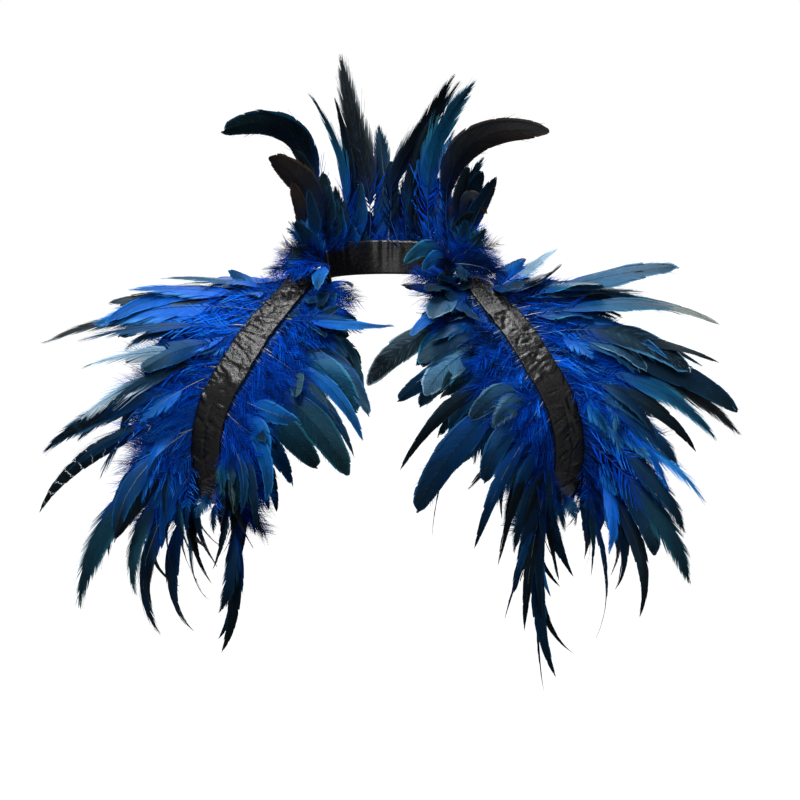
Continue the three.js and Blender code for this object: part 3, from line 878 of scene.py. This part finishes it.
def downy_template(seed):
    """A downy plume whose barbs all stay soft and lie in clumps."""
    draw = np.random.default_rng(seed)
    bm = feather_mesh()
    point, blunt = DOWNY_POINT
    for side in (-1, 1):
        phase = draw.uniform(0, math.tau, 3)
        for i in range(DOWNY_BARBS):
            root = DOWNY_LAST_ROOT * (i + draw.uniform(0, 1)) / DOWNY_BARBS
            full = DOWNY_FOOT + (1 - DOWNY_FOOT) * smooth(0, DOWNY_FULL_FROM, root)
            reach = (1 - root**point) ** blunt * full * draw.uniform(*DOWNY_REACH)
            lean = DOWNY_LEAN + ripple(DOWNY_LEAN_WAVE, root, phase[0]) + draw.normal(0, DOWNY_LEAN_STRAY)
            lean *= 1 - DOWNY_LEAN_FALL * root
            rise = DOWNY_RISE + ripple(DOWNY_RISE_WAVE, root, phase[1]) + draw.normal(0, DOWNY_RISE_STRAY)
            curl = ripple(DOWNY_CURL_WAVE, root, phase[2]) + DOWNY_CURL + draw.normal(0, DOWNY_CURL_STRAY)
            thick = draw.uniform(*DOWNY_THICKNESS)
            add_soft_barb(bm, side, root, reach, lean, rise, curl, thick, draw.uniform(*BARB_SHADES))
    add_shaft(bm, DOWNY_SHAFT_BREADTH)
    return template(bm)


TEMPLATES = {
    form["name"]: [feather_template(form, SEED + FORM_SEED_STEP * f + v) for v in range(VARIANTS)]
    for f, form in enumerate(FORMS)
}
TEMPLATES["plume"] = [downy_template(SEED + DOWNY_SEED + v) for v in range(DOWNY_VARIANTS)]


# Lines of feathers: a curve from quill to tip drawn towards a bend, and its frame.
def feather(quill, bend, tip, facing, look, twist=0.0, curl=0.0, wave=0.0):
    made = {"quill": quill, "bend": bend, "tip": tip, "facing": facing}
    made |= {"twist": twist, "curl": curl, "wave": wave}
    made["length"] = float(np.linalg.norm(tip - quill))
    made["shaft"] = "pale_shaft" if rng.random() < PALE_SHAFT_SHARE else "shaft"
    return made | {k: look[k] for k in ("width", "form", "dye", "down")}


def feather_line(row, along):
    quill, bend, tip = row["quill"], row["bend"], row["tip"]
    t = along[:, None]
    point = (1 - t) ** 2 * quill + 2 * t * (1 - t) * bend + t**2 * tip
    run = unit(2 * (1 - t) * (bend - quill) + 2 * t * (tip - bend))
    side = unit(np.cross(run, row["facing"]))
    up = np.cross(side, run)
    turn = row["twist"] * t
    return point, run, side * np.cos(turn) + up * np.sin(turn), up * np.cos(turn) - side * np.sin(turn)


def atlas(dye, across, along):
    u = (DYE_INDEX[dye] + 0.5 + LANE_HALF * np.clip(across, -1, 1)) / len(DYES)
    return np.stack([u, np.clip(along, *LANE_ENDS)], axis=1)


def placed_feather(row):
    choice = TEMPLATES[row["form"]]
    shape = choice[int(rng.integers(len(choice)))]
    corners = shape["corners"]
    along = np.clip(corners[:, 1], 0, 1)
    point, run, side, up = feather_line(row, along)
    over = (corners[:, 1] - along)[:, None] * row["length"]
    half = row["width"] / 2
    height = corners[:, 2:] * half + (row["curl"] * row["length"] * along**3)[:, None]
    sway = (row["wave"] * row["length"] * np.sin(math.tau * along))[:, None]
    spots = point + run * over + side * (corners[:, :1] * half + sway) + up * height
    kind = shape["kind"][:, None]
    dyes = (atlas(row[k], *shape["lane"].T) for k in ("dye", "down", "shaft"))
    places = np.select([kind == FIRM, kind == SOFT, kind == SHAFT], list(dyes))
    slots = np.where(shape["kind"][shape["faces"][:, 0]] == SOFT, DOWN_SLOT, VANE_SLOT)
    return spots, shape["faces"], places, slots


def linked(name, data):
    made = bpy.data.objects.new(name, data)
    bpy.context.collection.objects.link(made)
    return made


def joined_mesh(name, parts, materials):
    """One mesh from (corners, faces, atlas places, material numbers) in millimetres."""
    starts = np.cumsum([0] + [len(part[0]) for part in parts[:-1]])
    corners = np.concatenate([part[0] for part in parts]) * MM
    faces = np.concatenate([part[1] + start for part, start in zip(parts, starts)])
    places = np.concatenate([part[2] for part in parts])
    mesh = bpy.data.meshes.new(name)
    mesh.vertices.add(len(corners))
    mesh.vertices.foreach_set("co", corners.ravel())
    mesh.loops.add(faces.size)
    mesh.loops.foreach_set("vertex_index", faces.ravel())
    mesh.polygons.add(len(faces))
    mesh.polygons.foreach_set("loop_start", np.arange(0, faces.size, 4))
    mesh.polygons.foreach_set("material_index", np.concatenate([part[3] for part in parts]))
    mesh.polygons.foreach_set("use_smooth", np.ones(len(faces), bool))
    layer = mesh.uv_layers.new(name="OFBake")
    layer.data.foreach_set("uv", places[faces.ravel()].ravel())
    mesh.update(calc_edges=True)
    for material in materials:
        mesh.materials.append(material)
    return linked(name, mesh)


# Materials
def linear(colour):
    parts = [c / 255 for c in colour]
    parts = [c / 12.92 if c <= 0.04045 else ((c + 0.055) / 1.055) ** 2.4 for c in parts]
    return (*parts, 1.0)


def node(tree, kind, **inputs):
    made = tree.nodes.new(kind)
    for name, value in inputs.items():
        made.inputs[name.replace("_", " ")].default_value = value
    return made


def maths(tree, operation, first, second=None):
    made = tree.nodes.new("ShaderNodeMath")
    made.operation = operation
    for socket, value in zip(made.inputs, (first, second)):
        if value is None:
            continue
        if isinstance(value, (int, float)):
            socket.default_value = value
        else:
            tree.links.new(value, socket)
    return made.outputs[0]


def mixed(tree, factor, first, second, blend="MIX"):
    made = tree.nodes.new("ShaderNodeMix")
    made.data_type = "RGBA"
    made.blend_type = blend
    for name, value in (("Factor", factor), ("A", first), ("B", second)):
        socket = next(s for s in made.inputs if s.name == name and s.enabled)
        if isinstance(value, (int, float, tuple)):
            socket.default_value = value
        else:
            tree.links.new(value, socket)
    return next(s for s in made.outputs if s.enabled)


def ranged(tree, value, low, high, kind="LINEAR", to_low=0.0, to_high=1.0):
    made = node(tree, "ShaderNodeMapRange", From_Min=low, From_Max=high, To_Min=to_low, To_Max=to_high)
    made.interpolation_type = kind
    tree.links.new(value, made.inputs["Value"])
    return made.outputs["Result"]


def smooth_step(tree, value, low, high):
    return ranged(tree, value, low, high, "SMOOTHSTEP")


def joined_place(tree, first, second):
    made = tree.nodes.new("ShaderNodeCombineXYZ")
    tree.links.new(first, made.inputs[0])
    tree.links.new(second, made.inputs[1])
    return made.outputs[0]


def new_material(name):
    material = bpy.data.materials.new(name)
    material.use_nodes = True
    return material, material.node_tree, material.node_tree.nodes["Principled BSDF"]


def uv_place(tree, name):
    place = tree.nodes.new("ShaderNodeUVMap")
    place.uv_map = name
    return place.outputs[0]


def dye_ramp(tree, place, column):
    """Steps through the dyes from left to right of the atlas."""
    ramp = tree.nodes.new("ShaderNodeValToRGB")
    ramp.color_ramp.interpolation = "CONSTANT"
    stops = ramp.color_ramp.elements
    stops.remove(stops[1])
    for i, row in enumerate(DYES):
        stop = stops[0] if i == 0 else stops.new(i / len(DYES))
        value = row[column]
        stop.color = (value, value, value, 1) if column == "marks" else linear(value)
    tree.links.new(place, ramp.inputs["Fac"])
    return ramp.outputs["Color"]


def dye_group():
    """Dyed barbs: the atlas place becomes a colour with streaks along the barbs, a painted sheen on the
    rims and painted glints along them.
    """
    group = bpy.data.node_groups.new("barb_dye_and_sheen", "ShaderNodeTree")
    group.interface.new_socket("Place", in_out="INPUT", socket_type="NodeSocketVector")
    for name in ("Streaks Across", "Streaks Along", "Streak Depth"):
        group.interface.new_socket(name, in_out="INPUT", socket_type="NodeSocketFloat")
    group.interface.new_socket("Colour", in_out="OUTPUT", socket_type="NodeSocketColor")
    group.interface.new_socket("Streak", in_out="OUTPUT", socket_type="NodeSocketFloat")
    entry = group.nodes.new("NodeGroupInput")
    leave = group.nodes.new("NodeGroupOutput")
    apart = group.nodes.new("ShaderNodeSeparateXYZ")
    group.links.new(entry.outputs["Place"], apart.inputs[0])
    place, along = apart.outputs[0], apart.outputs[1]
    lane = maths(group, "MULTIPLY", place, len(DYES))
    across = maths(group, "ABSOLUTE", maths(group, "SUBTRACT", maths(group, "FRACT", lane), 0.5))

    # Fine streaks, and broad patches that shift where one colour gives way to the next
    fine_across = maths(group, "MULTIPLY", lane, entry.outputs["Streaks Across"])
    fine_along = maths(group, "MULTIPLY", along, entry.outputs["Streaks Along"])
    fine = node(group, "ShaderNodeTexNoise", **FINE_NOISE)
    group.links.new(joined_place(group, fine_across, fine_along), fine.inputs["Vector"])
    patch_along = maths(group, "MULTIPLY", along, PATCH_ALONG)
    broad = node(group, "ShaderNodeTexNoise", **PATCH_NOISE)
    group.links.new(joined_place(group, lane, patch_along), broad.inputs["Vector"])
    shift = maths(group, "MULTIPLY", maths(group, "SUBTRACT", broad.outputs[0], 0.5), PATCH_SHIFT)
    shifted = maths(group, "ADD", along, shift)

    # Foot, middle and tip; pale rims that are partly a painted sheen; painted glints along the barbs
    foot, middle, tip, edge = (dye_ramp(group, place, k) for k in ("foot", "middle", "tip", "edge"))
    colour = mixed(group, smooth_step(group, shifted, *FOOT_TO_MIDDLE), foot, middle)
    colour = mixed(group, smooth_step(group, shifted, *MIDDLE_TO_TIP), colour, tip)
    rim_and_sheen = maths(group, "MULTIPLY", smooth_step(group, across, *SHEEN_RIM_ACROSS), SHEEN_RIM_SHARE)
    rim_and_sheen = maths(group, "MULTIPLY", rim_and_sheen, smooth_step(group, along, *SHEEN_RIM_ALONG))
    colour = mixed(group, rim_and_sheen, colour, edge)
    # Painted highlight: glints along the barbs mixed towards the edge colour.
    painted_glint = maths(group, "MULTIPLY", smooth_step(group, fine.outputs[0], *PAINTED_GLINT), PAINTED_GLINT_SHARE)
    colour = mixed(group, painted_glint, colour, edge)

    # Pale cross marks
    slanted = maths(group, "ADD", along, maths(group, "MULTIPLY", across, MARK_SLANT))
    bars = group.nodes.new("ShaderNodeCombineXYZ")
    group.links.new(slanted, bars.inputs[1])
    marks = node(group, "ShaderNodeTexWave", **MARK_WAVES)
    marks.bands_direction = "Y"
    group.links.new(bars.outputs[0], marks.inputs["Vector"])
    line = maths(group, "MULTIPLY", smooth_step(group, marks.outputs[1], *MARK_LINE), MARK_SHARE)
    line = maths(group, "MULTIPLY", line, dye_ramp(group, place, "marks"))
    colour = mixed(group, line, colour, linear(MARK_COLOUR))

    # Streaks darken and lighten the whole
    streak = maths(group, "SUBTRACT", fine.outputs[0], 0.5)
    shade = maths(group, "ADD", maths(group, "MULTIPLY", streak, entry.outputs["Streak Depth"]), 1.0)
    tint = group.nodes.new("ShaderNodeCombineXYZ")
    for socket in tint.inputs:
        group.links.new(shade, socket)
    colour = mixed(group, 1.0, colour, tint.outputs[0], "MULTIPLY")
    group.links.new(colour, leave.inputs["Colour"])
    group.links.new(fine.outputs[0], leave.inputs["Streak"])
    return group


BARB_DYE_AND_SHEEN = dye_group()


def feather_material(finish):
    material, tree, shader = new_material(finish["name"])
    shader.inputs["Specular IOR Level"].default_value = finish["gloss"]
    shader.inputs["Specular Tint"].default_value = SHEEN
    dye_and_sheen = tree.nodes.new("ShaderNodeGroup")
    dye_and_sheen.node_tree = BARB_DYE_AND_SHEEN
    for label, value in zip(("Streaks Across", "Streaks Along", "Streak Depth"), finish["streaks"]):
        dye_and_sheen.inputs[label].default_value = value
    tree.links.new(uv_place(tree, "OFBake"), dye_and_sheen.inputs["Place"])
    tree.links.new(dye_and_sheen.outputs["Colour"], shader.inputs["Base Color"])
    smoothest = finish["roughness"] - STREAK_ROUGHNESS
    roughest = finish["roughness"] + STREAK_ROUGHNESS
    spread = ranged(tree, dye_and_sheen.outputs["Streak"], *STREAK_RANGE, "LINEAR", smoothest, roughest)
    tree.links.new(spread, shader.inputs["Roughness"])
    lines = node(tree, "ShaderNodeBump", Strength=finish["bump"], Distance=BARB_RELIEF)
    tree.links.new(dye_and_sheen.outputs["Streak"], lines.inputs["Height"])
    tree.links.new(lines.outputs[0], shader.inputs["Normal"])
    return material


VANE, DOWN = [feather_material(finish) for finish in FINISHES]


def satin_material():
    """Black satin in the cloth's own map: u from edge to edge, v along the ribbon in widths."""
    material, tree, shader = new_material("black_satin")
    shader.inputs["Specular IOR Level"].default_value = SATIN_GLOSS
    place = uv_place(tree, "cloth")
    apart = tree.nodes.new("ShaderNodeSeparateXYZ")
    tree.links.new(place, apart.inputs[0])
    gathers = node(tree, "ShaderNodeMapping", Scale=CRUSH_SCALE)
    tree.links.new(place, gathers.inputs["Vector"])
    crush = node(tree, "ShaderNodeTexNoise", **CRUSH_NOISE)
    tree.links.new(gathers.outputs[0], crush.inputs["Vector"])
    weave = node(tree, "ShaderNodeTexWave", **WEAVE_WAVES)
    weave.bands_direction = "DIAGONAL"
    tree.links.new(place, weave.inputs["Vector"])
    pale = tuple(c + SATIN_PALER for c in SATIN_COLOUR)
    colour = mixed(tree, crush.outputs[0], linear(SATIN_COLOUR), linear(pale))
    tree.links.new(colour, shader.inputs["Base Color"])
    roughness = ranged(tree, crush.outputs[0], *CRUSH_RANGE, "LINEAR", *CRUSH_ROUGHNESS)
    tree.links.new(roughness, shader.inputs["Roughness"])
    begins = smooth_step(tree, apart.outputs[1], CRUSH_FROM - CRUSH_BLEND, CRUSH_FROM + CRUSH_BLEND)
    stops = smooth_step(tree, apart.outputs[1], CRUSH_TO + CRUSH_BLEND, CRUSH_TO - CRUSH_BLEND)
    depth = ranged(tree, maths(tree, "MULTIPLY", begins, stops), 0.0, 1.0, "LINEAR", *CRUSH_DEPTH)
    height = maths(tree, "MULTIPLY", crush.outputs[0], depth)
    height = maths(tree, "ADD", height, maths(tree, "MULTIPLY", weave.outputs[1], WEAVE_HEIGHT))
    bump = node(tree, "ShaderNodeBump", Strength=SATIN_BUMP, Distance=SATIN_RELIEF)
    tree.links.new(height, bump.inputs["Height"])
    tree.links.new(bump.outputs[0], shader.inputs["Normal"])
    return material


SATIN = satin_material()


# Fringes
def zone_of(zones, station):
    return next(zone for zone in zones if station <= zone["up_to"])


def zone_dye(zones, station, column):
    return str(rng.choice(zone_of(zones, station)[column]))


def level(facing):
    return 1 - LEVEL_SHARE * max(facing[2], 0)


def tip_of(row):
    return np.array((row["x"], row["y"], row["z"]), float)


def band_feather(row, side, lift, spring, unrest):
    """A feather from the band's edge; spring is how squarely it leaves the band."""
    middle, _, facing, across = band_frame(row["station"])
    quill = middle + side * QUILL_START * across - QUILL_DEPTH * facing
    tip = tip_of(row)
    chord = tip - quill
    length = np.linalg.norm(chord)
    left = unit(np.cross(facing, chord))
    rise = facing * lift * level(facing) * length
    bend = (quill + tip) / 2 + 2 * (left * row["bow"] + rise)
    square = quill + side * across * length * SPRING_REACH + 2 * rise
    bend = bend + (square - bend) * spring
    return feather(quill, bend, tip, facing, row, rng.normal(0, unrest), rng.normal(0, unrest / CURL_PART))


def band_plume(rows, station, side, down):
    middle, along, facing, across = band_frame(station)
    quill = middle + side * PLUME_START * across - QUILL_DEPTH * facing
    chord = unit(tip_of(between(rows, station)) - quill)
    stray = along * rng.normal(0, PLUME_STRAY)
    run = unit(PLUME_SQUARE * side * across + PLUME_FOLLOW * chord + stray)
    run = unit(run - UP * PLUME_DROP * max(facing[2], 0))
    lift = facing * rng.uniform(*PLUME_LIFT) * level(facing)
    length = rng.uniform(*PLUME_LENGTH[side])
    tip = quill + length * unit(run + lift)
    bend = quill + length / 2 * unit(run + 2 * lift)
    look = {"width": rng.uniform(*PLUME_WIDTH), "form": "plume", "dye": "shaft", "down": down}
    return feather(quill, bend, tip, facing, look, rng.normal(0, PLUME_TWIST), rng.normal(0, PLUME_CURL))


def between(rows, station):
    """A row in between the two main feathers on either side of a station."""
    after = min(max(1, sum(r["station"] < station for r in rows)), len(rows) - 1)
    first, second = rows[after - 1], rows[after]
    share = (station - first["station"]) / (second["station"] - first["station"])
    share = min(max(share, 0), 1)
    row = {k: first[k] + (second[k] - first[k]) * share for k in ("x", "y", "z", "width", "bow")}
    return row | {"station": station}


def jittered(row, reach, spread):
    middle, _, facing, _ = band_frame(row["station"])
    stray = rng.normal(0, spread, 3)
    stray -= LAYERED_SHARE * facing * (stray @ facing)
    tip = middle + (tip_of(row) - middle) * reach + stray
    return row | {"x": tip[0], "y": tip[1], "z": tip[2], "bow": row["bow"] * reach}


def layered_feather(rows, station, side, layer, zones):
    zone = zone_of(zones, station)
    row = jittered(between(rows, station), rng.uniform(*layer["reach"]), layer["jitter"])
    row["form"] = str(rng.choice(COVER_FORMS if layer["dyes"] == "cover" else zone["forms"]))
    row["width"] = rng.uniform(*layer["width"]) * zone["slim"]
    row["bow"] += rng.normal(0, STRAY_BOW)
    row["dye"] = zone_dye(zones, station, layer["dyes"])
    row["down"] = zone_dye(zones, station, "down")
    return band_feather(row, side, rng.uniform(*layer["lift"]), layer["spring"], LAYER_UNREST)


def band_fringe(rows, side, zones):
    rows = sorted(rows, key=lambda r: r["station"])
    low, high = rows[0]["station"], rows[-1]["station"]
    mains = [row | {"down": zone_dye(zones, row["station"], "down")} for row in rows]
    feathers = [band_feather(row, side, LIFT_SHARE, 0.0, MAIN_UNREST) for row in mains]
    for layer in LAYERS:
        for station in np.arange(low, high, 1 / layer["per_station"]):
            if rng.random() <= zone_of(zones, station)["laid"]:
                feathers.append(layered_feather(rows, station, side, layer, zones))
    for tuft in np.arange(low - TUFT_OVER, high + TUFT_OVER, TUFT_SPAN):
        shared = zone_dye(zones, tuft, "down")
        for station in tuft + np.arange(0, TUFT_SPAN, 1 / PLUMES_PER_STATION):
            down = shared if rng.random() < TUFT_SHARE else zone_dye(zones, station, "down")
            feathers.append(band_plume(rows, station, side, down))
    return [placed_feather(row) for row in feathers] + [tape_part(low - TAPE_OVER, high + TAPE_OVER, side)]


def tape_part(first, last, side):
    """The dark tape that holds the quills, under the edge of the band."""
    bm = feather_mesh()
    add_grid(bm, (TAPE_STEPS, 1), FIRM, lambda p, q: (Vector((q - 0.5, p, 0)), (0, p)))
    shape = template(bm)
    across, run = shape["corners"][:, 0], shape["corners"][:, 1]
    middle, _, facing, out = band_frames(first + run * (last - first))
    offset = side * (TAPE_MIDDLE + across * TAPE_WIDTH)
    spots = middle + out * offset[:, None] - facing * TAPE_DEPTH
    slots = np.full(len(shape["faces"]), VANE_SLOT)
    return spots, shape["faces"], atlas("tape", *shape["lane"].T), slots


def mirrored(parts):
    flip = np.array((-1.0, 1.0, 1.0))
    return [(spots * flip, faces[:, ::-1], places, slots) for spots, faces, places, slots in parts]


def feather_piece(name, node_name, parts):
    piece = joined_mesh(name, parts, (VANE, DOWN))
    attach(piece, "root")
    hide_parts(node_name)


def lay_fringes(label, flip, shoulder_rows, chest_rows):
    for place, rows, side, zones in (
        ("shoulder", shoulder_rows + SHOULDER_BACK, ARM_SIDE, ZONES[f"{label}_arm"]),
        ("chest", chest_rows, BODY_SIDE, ZONES[f"{label}_body"]),
        ("back", BACK, BODY_SIDE, ZONES[f"{label}_body"]),
    ):
        parts = band_fringe(rows, side, zones)
        parts = mirrored(parts) if flip else parts
        feather_piece(f"{place}_feathers_{label}", f"{place}_fringe_{label}", parts)


# Collar ruff
def collar_quill(angle):
    return collar_points(angle, np.array([COLLAR_QUILL_HEIGHT]), COLLAR_QUILL_OUT)[0]


def plume_facing(angle):
    return unit(collar_facing(angle)[0] + FRONT * PLUME_FRONT_SHARE)


def collar_plume(row):
    quill = collar_quill(row["angle"])
    tip = tip_of(row)
    middle = np.array((row["mid_x"], row["mid_y"], row["mid_z"]), float)
    bend = 2 * middle - (quill + tip) / 2
    look = row | {"down": str(rng.choice(COLLAR_DOWN))}
    twist = row.get("twist", rng.normal(0, COLLAR_PLUME_TWIST))
    return feather(quill, bend, tip, plume_facing(row["angle"]), look, twist, wave=row.get("wave", 0.0))


def collar_filler(angle, length, lean, look):
    """A feather that leans out from the collar: lean 0 stands up, 1 lies level."""
    quill = collar_quill(angle)
    out = collar_facing(angle + rng.normal(0, COLLAR_STRAY_DEG))[0]
    run = unit(out * lean + UP * (1 - lean))
    tip = quill + length * run
    bend = quill + length / 2 * unit(run + UP * rng.normal(*COLLAR_ARCH))
    twist = rng.normal(0, COLLAR_TWIST)
    return feather(quill, bend, tip, plume_facing(angle), look, twist, rng.normal(0, COLLAR_CURL))


def collar_look(width, form, dye):
    return {"width": width, "form": form, "dye": dye, "down": str(rng.choice(COLLAR_DOWN))}


def collar_ruff():
    feathers = [collar_plume(row) for row in COLLAR]
    for row in COLLAR_ROWS:
        for angle in np.arange(-row["end"], row["end"] + 1, row["step"]):
            width = rng.uniform(*row["width"])
            form = str(rng.choice(row["forms"]))
            look = collar_look(width, form, str(rng.choice(row["dyes"])))
            length, lean = rng.uniform(*row["length"]), rng.uniform(*row["lean"])
            feathers.append(collar_filler(angle, length, lean, look))
    for angle in np.linspace(*DRAPE_DEG, DRAPES):
        for side in (-1, 1):
            look = collar_look(rng.uniform(*DRAPE_WIDTH), "plume", "shaft")
            length, lean = rng.uniform(*DRAPE_LENGTH), rng.uniform(*DRAPE_LEAN)
            feathers.append(collar_filler(side * angle, length, lean, look))
    return [placed_feather(row) for row in feathers]


# Satin arm bands and collar wall: ribbons laid along a line of frames.
def ribbon(name, steps, place, lengths, thickness, closed):
    """lengths is how many widths long the ribbon is."""
    bm = bmesh.new()
    bmesh.ops.create_grid(bm, x_segments=steps[0], y_segments=steps[1], size=0.5)
    flat = {v: (v.co.x + 0.5, v.co.y) for v in bm.verts}
    cloth = bm.loops.layers.uv.new("cloth")
    for face in bm.faces:
        face.smooth = True
        for loop in face.loops:
            run, across = flat[loop.vert]
            loop[cloth].uv = (across + 0.5, run * lengths)
    spots = np.array(list(flat.values()))
    for vert, spot in zip(flat, place(spots[:, 0], spots[:, 1]) * MM):
        vert.co = spot
    if closed:
        bmesh.ops.remove_doubles(bm, verts=bm.verts, dist=MERGE_DISTANCE)
    bmesh.ops.recalc_face_normals(bm, faces=bm.faces)
    mesh = bpy.data.meshes.new(name)
    bm.to_mesh(mesh)
    bm.free()
    mesh.materials.append(SATIN)
    made = linked(name, mesh)
    skin = made.modifiers.new("thickness", "SOLIDIFY")
    skin.thickness = thickness * MM
    skin.offset = 0
    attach(made, "root")
    return made


def satin_relief(stations, across, seed):
    """A flat folded band with a seam along it, dented by creases that run mostly from edge to edge."""
    draw = np.random.default_rng(seed)
    run = stations / len(ARM_LOOP) * BAND_LENGTH
    relief = BAND_CROWN * (1 - (2 * across) ** BAND_CROWN_POWER)
    relief -= SEAM_DEPTH * np.exp(-(((across - SEAM_PLACE) / SEAM_BREADTH) ** 2))
    for row in CREASES:
        for _ in range(row["count"]):
            at = draw.uniform(*row["stations"]) / len(ARM_LOOP) * BAND_LENGTH
            away = (run - at + BAND_LENGTH / 2) % BAND_LENGTH - BAND_LENGTH / 2
            beside = (across - draw.uniform(-0.5, 0.5)) * BAND_WIDTH
            turn = draw.normal(math.pi / 2, row["stray"])
            along = (away * math.cos(turn) + beside * math.sin(turn)) / draw.uniform(*row["length"])
            aside = (beside * math.cos(turn) - away * math.sin(turn)) / draw.uniform(*row["breadth"])
            relief += draw.normal(0, row["height"]) * np.exp(-(along**2) - aside**2)
    return relief


def lay_arm_band(label, sign, seed):
    def place(run, across):
        stations = run * len(ARM_LOOP)
        middle, _, facing, side = band_frames(stations)
        scallop = 1 + SCALLOP * np.sin(stations * SCALLOP_TURNS + seed + np.sign(across)) * np.abs(across)
        out = satin_relief(stations, across, seed) + BAND_RISE
        spots = middle + side * (across * scallop * BAND_WIDTH)[:, None] + facing * out[:, None]
        return spots * np.array((sign, 1, 1))

    lengths = BAND_LENGTH / BAND_WIDTH
    band = ribbon(f"satin_band_{label}", BAND_STEPS, place, lengths, BAND_THICKNESS, True)
    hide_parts(f"arm_band_{label}")


def collar_place(run, across):
    angles = (2 * run - 1) * COLLAR_END_DEG
    heights = (across + 0.5) * COLLAR_HEIGHT
    drift = COLLAR_DRIFT * np.sin(angles * COLLAR_DRIFT_TURNS)
    wave = COLLAR_WAVE * np.sin(angles * COLLAR_WAVE_TURNS + drift) * (across + 0.5)
    return collar_points(angles, heights, COLLAR_THICKNESS / 2 + wave)


def lay_collar_wall():
    lengths = COLLAR_ARC / COLLAR_HEIGHT
    collar = ribbon("collar_satin", COLLAR_STEPS, collar_place, lengths, COLLAR_THICKNESS, False)
    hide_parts("collar_band")


# Stage, light and camera
def seen_share(tree, base, extra):
    """A strength of base for light on the cape, and base + extra where the camera sees it."""
    path = tree.nodes.new("ShaderNodeLightPath")
    return maths(tree, "ADD", maths(tree, "MULTIPLY", path.outputs["Is Camera Ray"], extra), base)


def lay_floor():
    bm = bmesh.new()
    bmesh.ops.create_grid(bm, x_segments=1, y_segments=1, size=FLOOR_REACH)
    bmesh.ops.translate(bm, vec=(0, 0, FLOOR_Z * MM), verts=bm.verts)
    mesh = bpy.data.meshes.new("floor")
    bm.to_mesh(mesh)
    bm.free()
    material, tree, shader = new_material("pale_floor")
    shader.inputs["Base Color"].default_value = (FLOOR_GREY, FLOOR_GREY, FLOOR_GREY, 1)
    shader.inputs["Roughness"].default_value = FLOOR_ROUGHNESS
    shader.inputs["Emission Color"].default_value = (1, 1, 1, 1)
    tree.links.new(seen_share(tree, 0.0, FLOOR_GLOW), shader.inputs["Emission Strength"])
    mesh.materials.append(material)
    linked("floor", mesh)


def set_lamp(name, place, aim, size, power):
    light = bpy.data.lights.new(name, "AREA")
    light.size = size
    light.energy = power
    lamp = linked(name, light)
    lamp.location = place
    lamp.rotation_euler = (aim - Vector(place)).to_track_quat("-Z", "Y").to_euler()


def set_world():
    world = bpy.data.worlds.new("studio")
    bpy.context.scene.world = world
    world.use_nodes = True
    tree = world.node_tree
    glow = tree.nodes["Background"]
    glow.inputs["Color"].default_value = (1, 1, 1, 1)
    tree.links.new(seen_share(tree, WORLD_GLOW, 1 - WORLD_GLOW), glow.inputs["Strength"])
    bpy.context.scene.view_settings.view_transform = "Standard"


def set_camera(aim):
    data = bpy.data.cameras.new("camera")
    data.sensor_width = SENSOR_MM
    data.lens = SENSOR_MM * CAMERA_DISTANCE / FRAME_SIDE
    data.clip_end = CAMERA_FAR
    camera = linked("camera", data)
    tilt = math.radians(CAMERA_ELEVATION_DEG)
    away = Vector((0, -math.cos(tilt), math.sin(tilt))) * CAMERA_DISTANCE * MM
    camera.location = aim + away
    camera.rotation_euler = (-away).to_track_quat("-Z", "Y").to_euler()
    bpy.context.scene.camera = camera


# The cape is put together in this order, which is also the order of the random draws.
lay_fringes("left", False, SHOULDER_LEFT, CHEST_LEFT)
lay_fringes("right", True, SHOULDER_RIGHT, CHEST_RIGHT)
feather_piece("collar_feathers", "collar_plumes", collar_ruff())
for arm_band in ARM_BANDS:
    lay_arm_band(**arm_band)
lay_collar_wall()

picture_aim = Vector(CAMERA_AIM) * MM
lay_floor()
for lamp_name, lamp_place, lamp_size, lamp_power in LAMPS:
    set_lamp(lamp_name, lamp_place, picture_aim, lamp_size, lamp_power)
set_world()
set_camera(picture_aim)
